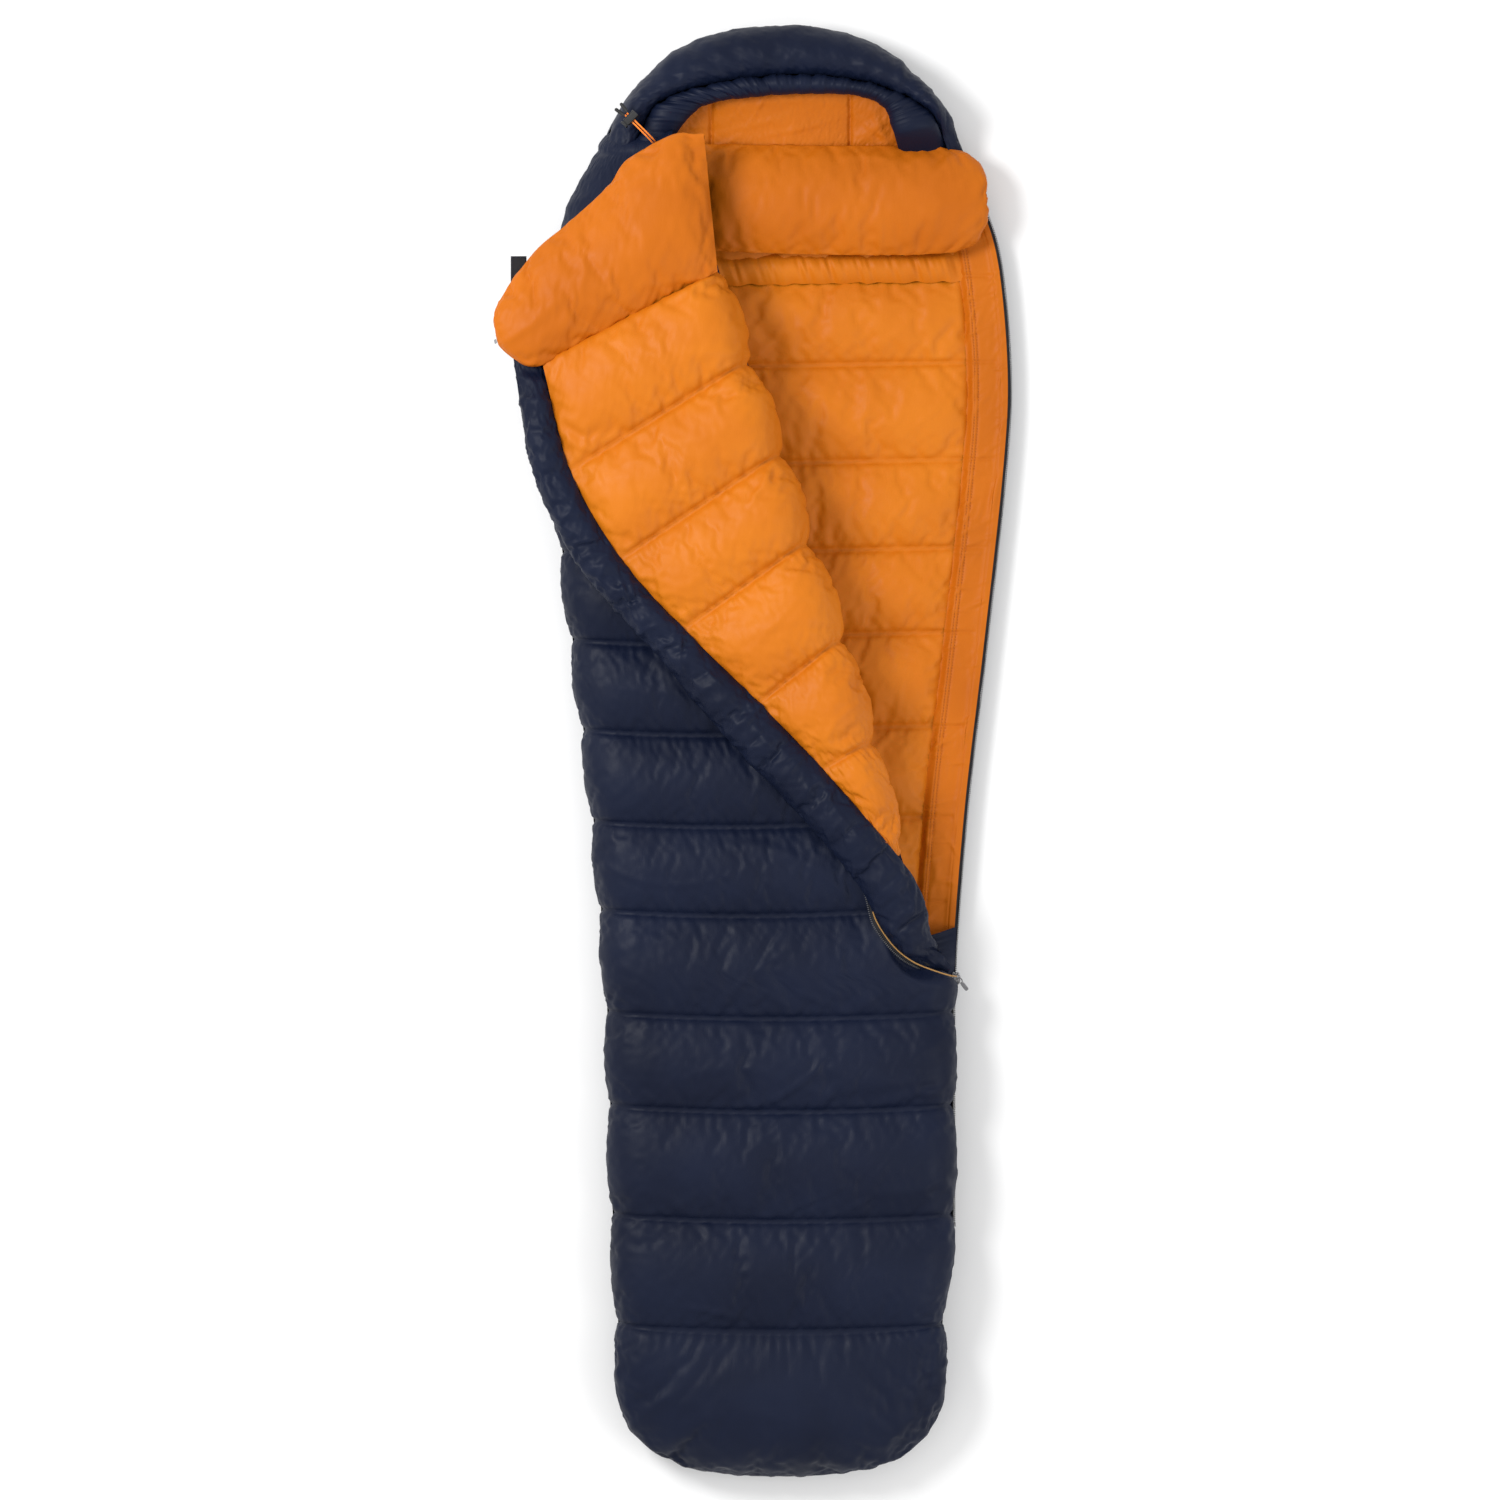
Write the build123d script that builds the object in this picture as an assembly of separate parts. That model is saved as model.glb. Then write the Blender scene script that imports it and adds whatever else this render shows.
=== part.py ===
"""A mummy-shaped down sleeping bag, lying on its back, unzipped to the hips.

The front's free part is folded back over its left side, so that the lining shows.
Frame: millimetres, +Z up, +Y from foot to head, +X towards the side with the zip.
The origin is on the floor, under the bag's centreline, halfway along the bag.

The bag has a back layer on the floor and a front layer above it, with side walls between
them, a foot box, a hood, a neck collar in two halves, a draft tube and a coil zip.
Each layer is an outer fabric, a lining, baffle walls, and one block of down per chamber.
The front's free part, the flap, is drawn closed and then turned 180 degrees about the fold.
"""

from build123d import *
import math
import os

# ---------------------------------------------------------------- driving dimensions
# Right half of the outline in plan, from the foot to the hood, with a radius per corner
OUTLINE = [(218, -1064), (253, -740), (253, -300), (350, 480), (336, 720), (200, 1064)]
OUTLINE_RADII = [115, 800, 400, 900, 500, 275]
ZIP_SIDE_X = 253.0            # half width where the closed zip runs straight
FABRIC = 0.8                  # stand-in thickness of every fabric
GAP = 0.2                     # clearance between touching layers
BACK_TOP = 30.0               # top of the back layer
FRONT_BOTTOM = 80.0           # the sleeping space lies between these two
FRONT_TOP = 119.5             # top of the front layer
WALL = 40.0                   # thickness of the side walls, foot box wall and hood wall
BAFFLE = 0.8                  # thickness of a baffle wall

# Seams across the bag, from the foot box to the neck
SEAMS = [-836, -675, -515, -379, -229, -99, 35, 167, 296, 428, 562, 693]
HOOD_Y = 890.0                # the hood starts here
FRONT_END_Y = 878.0           # the neck edge of the front layer
FOOT_BOX_Y = -870.0           # the foot box wall starts here
SIDE_END_Y = -340.0           # the zip side's wall ends here, below the slider

# The fold: a straight line from beside the slider to the left of the neck
FOLD_START = (228.0, -328.0)
FOLD_END = (-152.0, 894.0)
FOLD_Z = 120.0                # the flap turns about this height
FOLD_GAP = 1.05               # each layer stops this far from the fold, along X

# The flap in plan, closed: tip, widest point of the zip edge, corner, neck edge
FLAP_TIP = (252, -312)
FLAP_WIDEST = (324, 490)
FLAP_CORNER = (212, 828)
FLAP_NECK = [(100, 878), (-62, 909)]
FLAP_NECK_END_Y = 897.0

# The hood
HOOD_ROOF_BOTTOM = 66.0
HOOD_TOP = 118.0
FACE_HALF_WIDTH = 168.0
FACE_TOP_Y = 958.0
BRIM_Z = (68.0, 106.0)
BRIM_WIDTH = 32.0
BRIM_START_Y = 898.0

# The neck collar
COLLAR_X = (-90.0, 292.0)
COLLAR_Y = (738.0, 882.0)
COLLAR_Z = (34.2, 78.0)
BAND_Y = (698.0, 733.0)
BAND_TOP = 42.0

# The zip
TAPE_WIDTH = 14.0
COIL_WIDTH = 3.6
COIL_HEIGHT = 2.4
ZIP_Z = 55.0                  # centre of the closed zip in the side wall
COIL_SPLIT = 1.6              # gap between the closed coils, for the slider's neck
ZIP_STOP_Y = -690.0
SLIDER_Y = -332.0
SLIDER_LENGTH = 20.0

# The draft tube under the flap's zip edge
DRAFT_WIDTH = 62.0
DRAFT_DEPTH = 19.0

# The hood's drawcord, its lock and its end tips
CORD = 2.5
CORD_SPACING = 4.0            # between the two strands
CORD_EXIT = (-184.0, 909.0)   # in the left end of the brim
CORD_TURN_Y = 889.0
CORD_BEND = 8.8
LOCK_CENTRE = (-219.0, 923.0, 126.5)
LOCK_BARREL = (20.0, 12.0, 11.0)

FAR = 3000.0

os.makedirs("parts", exist_ok=True)


# ---------------------------------------------------------------- helpers
def save(shape, name):
    """One STEP for one node, from a shape or a list of shapes."""
    items = shape if isinstance(shape, list) else [shape]
    solids = [s for item in items for s in item.solids()]
    whole = solids[0] if len(solids) == 1 else Compound(children=solids)
    whole.label = name
    export_step(whole, f"parts/{name}.step")


def prism(face, low, high):
    """A plan region raised from one height to another."""
    return extrude(Pos(0, 0, low) * face, amount=high - low, dir=(0, 0, 1))


def casing(face, low, high, cut_low=0.0, cut_high=0.0):
    """Thin fabric all round a layer; a cut leaves that side open."""
    hollow = prism(offset(face, amount=-FABRIC), low + FABRIC - cut_low, high - FABRIC + cut_high)
    return prism(face, low, high) - hollow


def band(y_low, y_high, x_low=-FAR, x_high=FAR):
    """A plan rectangle, for cutting regions into stretches."""
    centre = Pos((x_low + x_high) / 2, (y_low + y_high) / 2, 0)
    return centre * Rectangle(x_high - x_low, y_high - y_low)


def inset(face, amount):
    return offset(face, amount=-amount)


def polygon(*points):
    return make_face(Polyline(*points, close=True))


def fold_x(y):
    """Where the fold line is, across the bag, at a place along it."""
    (x0, y0), (x1, y1) = FOLD_START, FOLD_END
    return x0 + (x1 - x0) * (y - y0) / (y1 - y0)


def chambers(face, seams, low, high):
    """One block of down between each two seams."""
    blocks = []
    for start, end in zip(seams, seams[1:]):
        piece = face & band(start + BAFFLE / 2 + GAP, end - BAFFLE / 2 - GAP)
        blocks += [prism(part, low, high) for part in piece.faces() if part.area > 400]
    return blocks


def baffles(face, seams, low, high):
    """One thin wall under each seam."""
    walls = []
    for seam in seams:
        piece = face & band(seam - BAFFLE / 2, seam + BAFFLE / 2)
        walls += [prism(part, low, high) for part in piece.faces() if part.area > 4]
    return walls


FOLD_AXIS = Axis(
    (FOLD_START[0], FOLD_START[1], FOLD_Z),
    (FOLD_END[0] - FOLD_START[0], FOLD_END[1] - FOLD_START[1], 0),
)


def folded_back(shape):
    """A closed piece of the flap, turned to where it lies when the bag is open."""
    if isinstance(shape, list):
        return [folded_back(piece) for piece in shape]
    return shape.rotate(FOLD_AXIS, 180)


# ---------------------------------------------------------------- plan outlines
def bag_outline():
    """The whole bag in plan: foot, straight calf, widening to the shoulders, round hood."""
    left = [(-x, y) for x, y in reversed(OUTLINE)]
    radii = [*OUTLINE_RADII, *reversed(OUTLINE_RADII)]
    return make_face(FilletPolyline(*OUTLINE, *left, radius=radii, close=True))


def flap_outline():
    """The flap in plan, closed: zip edge, neck edge and fold line."""
    low = (fold_x(FLAP_TIP[1]) + FOLD_GAP, FLAP_TIP[1])
    neck_end = (fold_x(FLAP_NECK_END_Y) + FOLD_GAP, FLAP_NECK_END_Y)
    corners = [FLAP_TIP, FLAP_WIDEST, FLAP_CORNER, *FLAP_NECK, neck_end, low]
    radii = [0, 500, 25, 0, 30, 0, 0]
    return make_face(FilletPolyline(*corners, radius=radii, close=True))


BAG = bag_outline()
BAG_IN = inset(BAG, FABRIC + GAP)
CAVITY = inset(BAG, WALL)
LINED = inset(BAG, WALL - FABRIC)
PACKED = inset(BAG, WALL - FABRIC - GAP)
LEFT_OF_FOLD = polygon(
    (fold_x(-FAR) - FOLD_GAP, -FAR),
    (fold_x(FAR) - FOLD_GAP, FAR),
    (-2 * FAR, FAR),
    (-2 * FAR, -FAR),
)
FRONT = BAG & band(-FAR, FRONT_END_Y) & LEFT_OF_FOLD
FRONT_IN = BAG_IN & band(-FAR, FRONT_END_Y - FABRIC) & (Pos(-FABRIC, 0, 0) * LEFT_OF_FOLD)
FLAP = flap_outline()


# ---------------------------------------------------------------- the back layer
def back_layer():
    save(casing(BAG, 0, BACK_TOP - FABRIC, 0, 5), "back_shell")
    save(prism(BAG, BACK_TOP - FABRIC, BACK_TOP), "back_lining")
    low, high = FABRIC + GAP, BACK_TOP - FABRIC - GAP
    seams = [*SEAMS, HOOD_Y]
    save(chambers(BAG_IN, [-FAR, *seams, FAR], low, high), "back_down")
    save(baffles(BAG_IN, seams, low, high), "back_baffle_walls")


# ---------------------------------------------------------------- the front layer
def front_layer():
    low, high = FRONT_BOTTOM, FRONT_TOP
    sheet = prism(FRONT, high - FABRIC, high)
    skirt = prism((BAG - inset(BAG, FABRIC)) & FRONT, low, high - FABRIC / 2)
    save(sheet + skirt, "front_shell")
    save(prism(FRONT_IN, low, low + FABRIC), "front_lining")
    inner = (low + FABRIC + GAP, high - FABRIC - GAP)
    save(chambers(FRONT_IN, [-FAR, *SEAMS, FAR], *inner), "front_down")
    save(baffles(FRONT_IN, SEAMS, *inner), "front_baffle_walls")


# ---------------------------------------------------------------- the walls between the layers
def wall(name, stretch, high, cuts):
    """Outer fabric, lining and down of one stretch of the bag's side."""
    low = BACK_TOP + GAP
    save(prism((BAG - inset(BAG, FABRIC)) & stretch, low, high), f"{name}_shell")
    save(prism((LINED - CAVITY) & stretch, low, high), f"{name}_lining")
    packed = (BAG_IN - PACKED) & stretch
    blocks = []
    for cut in cuts:
        blocks += [prism(part, low, high) for part in (packed & cut).faces()]
    save(blocks, f"{name}_down")


def along(seams):
    """Plan bands between each two places along the bag."""
    return [band(a + GAP, b - GAP) for a, b in zip(seams, seams[1:])]


def across(places, y_low, y_high):
    """Plan bands between each two places across the bag."""
    return [band(y_low, y_high, a + GAP, b - GAP) for a, b in zip(places, places[1:])]


def walls():
    """The zip side is open above the slider."""
    high = FRONT_BOTTOM - GAP
    left = band(FOOT_BOX_Y, HOOD_Y - GAP, -FAR, 0)
    wall("left_side", left, high, along([-FAR, *SEAMS, FAR]))
    zip_side = band(FOOT_BOX_Y, SIDE_END_Y, 0, FAR)
    wall("zip_side", zip_side, high, along([-FAR, *SEAMS[:4], FAR]))
    foot = band(-FAR, FOOT_BOX_Y - GAP)
    foot_cuts = [-FAR, -170, -60, 60, 170, FAR]
    wall("foot_box", foot, high, across(foot_cuts, -FAR, FOOT_BOX_Y - GAP))
    hood_cuts = [-FAR, -185, -80, 80, 185, FAR]
    wall("hood_side", band(HOOD_Y, FAR), HOOD_ROOF_BOTTOM - GAP, across(hood_cuts, HOOD_Y, FAR))


# ---------------------------------------------------------------- the hood
def face_opening(margin):
    """The face opening in plan, larger by a margin: a low arch, open towards the feet."""
    half, top, base = FACE_HALF_WIDTH, FACE_TOP_Y, HOOD_Y - 200
    corners = [(half, base), (half, top), (-half, top), (-half, base)]
    arch = make_face(FilletPolyline(*corners, radius=[0, 44, 44, 0], close=True))
    return offset(arch, amount=margin) if margin else arch


def hood():
    low, high = HOOD_ROOF_BOTTOM, HOOD_TOP
    roof = (BAG & band(HOOD_Y + 4, FAR)) - face_opening(BRIM_WIDTH + 2)
    roof_in = (BAG_IN & band(HOOD_Y + 5, FAR)) - face_opening(BRIM_WIDTH + 3)
    shell = prism(roof, low, high) - prism(roof_in, low - 1, high - FABRIC)
    save(shell, "hood_shell")
    save(prism(roof_in, low, low + FABRIC), "hood_lining")
    blocks = []
    for cut in across([-FAR, -150, 0, 150, FAR], HOOD_Y, FAR):
        packed = (roof_in & cut).faces()
        blocks += [prism(part, low + FABRIC + GAP, high - FABRIC - GAP) for part in packed]
    save(blocks, "hood_down")

    bottom, top = BRIM_Z
    middle, half = (bottom + top) / 2, BRIM_WIDTH / 2
    brim = (face_opening(BRIM_WIDTH) - face_opening(0)) & band(BRIM_START_Y, FAR)
    tunnel = (face_opening(half + 4.5) - face_opening(half - 4.5)) & band(HOOD_Y, FAR)
    save(prism(brim, bottom, top) - prism(tunnel, middle - 2.5, middle + 2.5), "hood_brim")
    reach = band(CORD_EXIT[1] + 1, FAR)
    strands = []
    for side in (-1, 1):
        centre = half + side * CORD_SPACING / 2
        strand = face_opening(centre + CORD / 2) - face_opening(centre - CORD / 2)
        strands.append(prism(strand & reach, middle - CORD / 2, middle + CORD / 2))
    save(strands, "hood_drawcord")


# ---------------------------------------------------------------- the collar's back half
def back_collar():
    (x0, x1), (y0, y1), (low, high) = COLLAR_X, COLLAR_Y, COLLAR_Z
    pillow = Pos((x0 + x1) / 2, (y0 + y1) / 2, 0) * RectangleRounded(x1 - x0, y1 - y0, 34)
    save(casing(pillow, low, high), "back_collar_cover")
    inner = inset(pillow, FABRIC + GAP)
    save(prism(inner, low + FABRIC + GAP, high - FABRIC - GAP), "back_collar_down")
    save(prism(band(*BAND_Y, x0, x1 - 12), BACK_TOP + GAP, BAND_TOP), "collar_gather_band")


# ---------------------------------------------------------------- the flap
def flap():
    low, high = FRONT_BOTTOM, FRONT_TOP
    body = FLAP & band(-FAR, SEAMS[-1])
    body_in = inset(body, FABRIC + GAP)
    above = low + FABRIC + GAP
    save(folded_back(casing(body, above, high, 5, 0)), "flap_shell")
    save(folded_back(prism(body, low, low + FABRIC)), "flap_lining")
    save(folded_back(chambers(body_in, [-FAR, *SEAMS], above, high - FABRIC - GAP)), "flap_down")
    walls_in = baffles(body_in, SEAMS[4:-1], above, high - FABRIC - GAP)
    save(folded_back(walls_in), "flap_baffle_walls")

    end = FLAP & band(SEAMS[-1] + 2 * GAP, FAR)
    save(folded_back(casing(end, low, high)), "front_collar_cover")
    packed = prism(inset(end, FABRIC + GAP), above, high - FABRIC - GAP)
    save(folded_back(packed), "front_collar_down")


def along_zip_edge(outer, inner, y_low, y_high):
    """A plan ribbon outside the flap's zip edge, between two distances from it."""
    ribbon = offset(FLAP, amount=outer) - offset(FLAP, amount=inner)
    right = polygon((fold_x(-FAR) + 9, -FAR), (3 * FAR, -FAR), (3 * FAR, FAR), (fold_x(FAR) + 9, FAR))
    kept = ribbon & band(y_low, y_high, 100, FAR) & right
    return sorted(kept.faces(), key=lambda face: face.area)[-1]


def flap_edge():
    """The draft tube inside the flap's zip edge, and the flap's half of the zip."""
    low, high = FRONT_BOTTOM - DRAFT_DEPTH, FRONT_BOTTOM - GAP
    inside = inset(FLAP, 6)
    tube = (inside - Pos(-DRAFT_WIDTH, 0, 0) * inside) & band(-180, SEAMS[-1] - 2)
    save(folded_back(casing(tube, low, high)), "draft_tube_cover")
    packed = prism(inset(tube, FABRIC + GAP), low + FABRIC + GAP, high - FABRIC - GAP)
    save(folded_back(packed), "draft_tube_down")

    edge, y_low, y_high = TAPE_WIDTH - 2, -290, 800
    base = FRONT_BOTTOM + 8
    tape = along_zip_edge(edge, GAP, y_low, y_high)
    save(folded_back(prism(tape, base, base + 1)), "flap_zip_tape")
    coil = along_zip_edge(edge, edge - COIL_WIDTH, y_low, y_high - 6)
    save(folded_back(prism(coil, base - GAP - COIL_HEIGHT, base - GAP)), "flap_zip_coil")
    stop = along_zip_edge(edge, edge - COIL_WIDTH, y_high - 5.5, y_high)
    save(folded_back(prism(stop, base - GAP - COIL_HEIGHT, base - GAP)), "flap_zip_top_stop")
    piping = along_zip_edge(3, 1, y_low, y_high)
    save(folded_back(prism(piping, base - GAP - 2, base - GAP)), "flap_zip_piping")


# ---------------------------------------------------------------- the bag's half of the zip
def open_zip():
    """Tape, coil and facing along the edge of the back layer, above the slider."""
    y_low, y_high = SLIDER_Y + 14, 868.0
    low = BACK_TOP + GAP

    def ribbon(outer, inner, start, end):
        return (inset(BAG, outer) - inset(BAG, inner)) & band(start, end, 0, FAR)

    save(prism(ribbon(1, 1 + TAPE_WIDTH, y_low, y_high), low, low + 1), "bag_zip_tape")
    coil = ribbon(1, 1 + COIL_WIDTH, y_low, y_high - 6)
    save(prism(coil, low + 1 + GAP, low + 1 + GAP + COIL_HEIGHT), "bag_zip_coil")
    stop = ribbon(1, 1 + COIL_WIDTH, y_high - 5.5, y_high)
    save(prism(stop, low + 1 + GAP, low + 1 + GAP + COIL_HEIGHT), "bag_zip_top_stop")
    facing = ribbon(2 + TAPE_WIDTH, 58 + TAPE_WIDTH, y_low, BAND_Y[0] - 8)
    save(prism(facing, low, low + 1.2), "zip_facing")


def closed_zip():
    """Both tapes and coils below the slider, upright in the zip side wall."""
    x = ZIP_SIDE_X + GAP
    middle, length = (ZIP_STOP_Y + SIDE_END_Y) / 2, SIDE_END_Y - ZIP_STOP_Y
    for name, side in (("upper", 1), ("lower", -1)):
        tape_z = ZIP_Z + side * (COIL_SPLIT + TAPE_WIDTH) / 2
        save(Pos(x + 0.4, middle, tape_z) * Box(0.8, length, TAPE_WIDTH), f"closed_zip_{name}_tape")
        place = Pos(x + 1.0 + COIL_HEIGHT / 2, middle, ZIP_Z + side * (COIL_SPLIT + COIL_WIDTH) / 2)
        save(place * Box(COIL_HEIGHT, length, COIL_WIDTH), f"closed_zip_{name}_coil")
    stop = Pos(x + 1.8, ZIP_STOP_Y - 3, ZIP_Z) * Box(3.6, 5, 2 * COIL_WIDTH + 4)
    save(stop, "zip_bottom_stop")


# ---------------------------------------------------------------- slider and pull
def slider():
    """An outer plate with turned-in edges, a neck between the coils, and a bridge for the pull."""
    clear = 0.4
    tape_face = ZIP_SIDE_X + GAP + 0.8
    y = SLIDER_Y
    wide = 2 * COIL_WIDTH + COIL_SPLIT + 2 * clear
    plate_x = tape_face + GAP + COIL_HEIGHT + clear
    body = Pos(plate_x + 0.7, y, ZIP_Z) * Box(1.4, SLIDER_LENGTH, wide + 2.4)
    for side in (1, -1):
        edge_x = (tape_face + GAP + plate_x + 0.7) / 2
        place = Pos(edge_x, y, ZIP_Z + side * (wide / 2 + 0.6))
        body += place * Box(plate_x + 0.7 - tape_face - GAP, SLIDER_LENGTH, 1.2)
    neck = Pos((tape_face + GAP + plate_x + 0.7) / 2, y + SLIDER_LENGTH / 2 - 3, ZIP_Z)
    body += neck * Box(plate_x + 0.7 - tape_face - GAP, 5, COIL_SPLIT - 0.6)
    top = plate_x + 1.4
    for place in (-6, 6):
        body += Pos(top + 1.6, y + place, ZIP_Z) * Box(4.0, 2, 4)
    body += Pos(top + 3.6, y, ZIP_Z) * Box(1.2, 14, 4)
    save(body, "zip_slider")

    eye_x = top + 1.5
    pull = Pos(eye_x, y, ZIP_Z) * Box(1.2, 1.2, 11)
    for side in (1, -1):
        pull += Pos(eye_x + 4.5, y, ZIP_Z + side * 5.1) * Box(10.2, 1.6, 1.2)
    pull += Pos(eye_x + 9, y, ZIP_Z) * Box(1.6, 1.6, 11.4)
    pull += Pos(eye_x + 20, y, ZIP_Z) * Box(22, 1.6, 7)
    pull -= Pos(eye_x + 27, y, ZIP_Z) * Rot(90, 0, 0) * Cylinder(1.6, 6)
    turned = Pos(eye_x, y, 0) * Rot(0, 0, -52) * Pos(-eye_x, -y, 0) * pull
    save(turned, "zip_pull")


# ---------------------------------------------------------------- the closure tab
def closure_tab():
    """A webbing tab at the top of the flap's zip, with a hook patch underneath."""
    save(Pos(-382.0, 695.5, 119.5) * Box(23, 55, 1.4), "closure_tab")
    save(Pos(-382.0, 706, 118.0) * Box(19, 28, 1.2), "closure_tab_hook_patch")


# ---------------------------------------------------------------- the hood's cord and its lock
def cord_heading():
    """Direction of the cord in plan, in degrees, from where it comes up to the lock."""
    across_bag = LOCK_CENTRE[0] - CORD_EXIT[0]
    return math.degrees(math.atan2(LOCK_CENTRE[1] - CORD_TURN_Y, across_bag))


def cord_place():
    """From the cord's own frame, +Y along the cord at the lock, to the bag's."""
    return Pos(*LOCK_CENTRE) * Rot(0, 0, cord_heading() - 90)


def cord_strand(side):
    """One strand: out of the brim, up past the hood's edge, and through the lock."""
    heading = math.radians(cord_heading())
    shift = side * CORD_SPACING / 2
    sideways = (-math.sin(heading) * shift, math.cos(heading) * shift)
    x, z = CORD_EXIT[0] - shift, sum(BRIM_Z) / 2
    lock_x, lock_y, lock_z = LOCK_CENTRE
    turn = (CORD_EXIT[0] + sideways[0], CORD_TURN_Y + sideways[1])
    reach = 9.0
    route = [
        (x, CORD_EXIT[1], z),
        (x, turn[1], z),
        (turn[0], turn[1], lock_z),
        (lock_x + sideways[0] + reach * math.cos(heading),
         lock_y + sideways[1] + reach * math.sin(heading), lock_z),
    ]
    path = FilletPolyline(*route, radius=CORD_BEND)
    circle = Plane(path @ 0, z_dir=path % 0) * Circle(CORD / 2)
    return sweep(circle, path=path)


def hood_cord():
    strands = {"hood_cord_left_strand": 1, "hood_cord_right_strand": -1}
    for name, side in strands.items():
        save(cord_strand(side), name)
    tips = []
    for side in (-1, 1):
        tip = Rot(90, 0, 0) * Cylinder(2.6, 14, align=(Align.CENTER, Align.CENTER, Align.MAX))
        tip += Pos(0, 14, 0) * Sphere(2.6)
        tips.append(cord_place() * Pos(side * -3.2, 9.6, 0) * Rot(0, 0, 9 * side) * tip)
    save(tips, "hood_cord_end_tips")


def cord_lock():
    """A barrel with a sprung button facing away from the hood; the strands cross both."""
    place = cord_place() * Rot(0, 0, 180)
    length, width, height = LOCK_BARREL
    centre = -1.0
    outer = Pos(centre, 0, 0) * fillet(Box(length, width, height).edges().filter_by(Axis.X), 3.5)
    well = Pos(centre + 2.5, 0, 0) * Box(length - 1, width - 3.6, height - 3.6)
    slot = Box(CORD_SPACING + CORD + 1.0, 3 * width, CORD + 0.9)
    save(place * (outer - well - slot), "cord_lock_barrel")
    stem = Pos(3.3, 0, 0) * Box(15.8, width - 4.2, height - 4.2)
    stem -= Pos(1.0, 0, 0) * Box(9.4, 3 * width, CORD + 0.9)
    head = Pos(12.7, 0, 0) * fillet(Box(3, width, height).edges().filter_by(Axis.X), 3.5)
    save(place * (stem + head), "cord_lock_button")
    spring = Pos(-7.2, 0, 0) * Rot(0, 90, 0) * (Cylinder(2.4, 0.8) - Cylinder(1.6, 6))
    save(place * spring, "cord_lock_spring")


back_layer()
front_layer()
walls()
hood()
back_collar()
flap()
flap_edge()
open_zip()
closed_zip()
slider()
closure_tab()
hood_cord()
cord_lock()
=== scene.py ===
"""Looks of a mummy-shaped down sleeping bag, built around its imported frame.

Metres, +Z up, +Y from foot to head, +X towards the zip. The bag lies open: its front's free
part, the flap, is folded back over its left side, so that the orange lining shows.
Quilted fabrics start as plain sheets with sewn rows, and a cloth simulation fills them.
"""

import math

import bpy
import numpy as np
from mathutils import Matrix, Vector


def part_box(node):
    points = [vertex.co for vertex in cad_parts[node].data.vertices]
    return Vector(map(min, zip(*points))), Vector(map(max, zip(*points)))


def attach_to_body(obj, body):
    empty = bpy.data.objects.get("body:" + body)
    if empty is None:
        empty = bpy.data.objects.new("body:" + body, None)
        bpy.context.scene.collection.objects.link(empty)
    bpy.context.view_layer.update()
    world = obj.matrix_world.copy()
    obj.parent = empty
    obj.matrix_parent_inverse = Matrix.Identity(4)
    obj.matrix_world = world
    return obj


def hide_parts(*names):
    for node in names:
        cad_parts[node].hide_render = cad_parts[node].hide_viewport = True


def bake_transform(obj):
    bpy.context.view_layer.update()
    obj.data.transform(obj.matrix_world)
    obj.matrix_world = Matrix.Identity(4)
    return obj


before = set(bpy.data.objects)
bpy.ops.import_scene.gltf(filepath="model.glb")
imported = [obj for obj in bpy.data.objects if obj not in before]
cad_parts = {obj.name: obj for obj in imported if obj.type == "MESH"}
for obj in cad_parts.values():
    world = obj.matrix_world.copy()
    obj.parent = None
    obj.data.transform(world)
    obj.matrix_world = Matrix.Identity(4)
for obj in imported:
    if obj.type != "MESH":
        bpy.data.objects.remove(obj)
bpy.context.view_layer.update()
rng = np.random.default_rng(11)

# ---- driving dimensions
FOOT_Y = -1.064
FOOT_ROUND_Y = -0.90          # the foot's round end starts here
NECK_Y = 0.885                # neck edge of the front
# Half width of the bag at a few stations from foot to shoulder: (y, half width)
HALF_WIDTHS = [(-0.90, 0.235), (-0.70, 0.246), (-0.376, 0.255), (-0.10, 0.275), (0.15, 0.304),
               (0.412, 0.333), (0.56, 0.340), (0.72, 0.326), (0.81, 0.299), (0.90, 0.262)]

EQUATOR_Z = 0.045             # where top and bottom shells are sewn together at the side
TOP_SEAM_Z = 0.099            # sewn rows of the front
FRONT_CEILING_Z = 0.1185      # nothing of the front rises above this under the flap
ZIP_X = 0.2545                # the closed zip, where the slider runs
ZIP_Z = 0.055
SLIDER_Y = -0.332
FOLD_START = np.array([0.228, -0.328])
FOLD_END = np.array([-0.152, 0.894])
FOLD_Z = 0.120
FOLD_ROLL = 0.040             # radius of the lining's turn at the fold
SHELL_SEAMS = [-0.836, -0.675, -0.515, -0.379, -0.229, -0.099, 0.035, 0.167, 0.296, 0.428, 0.562, 0.693]
BACK_SEAMS = [-0.340, -0.227, -0.103, 0.031, 0.169, 0.294, 0.424, 0.567, 0.694, 0.850]
STEP = 0.008                  # mesh spacing of the simulated sheets
FRAMES = 26                   # length of the cloth simulation
# Where the flap's zip edge leaves the bag, and where it moves wholly with the flap
EDGE_BLEND = ((0.246, -0.322, 0.08), (0.165, -0.190, 0.12))

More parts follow.
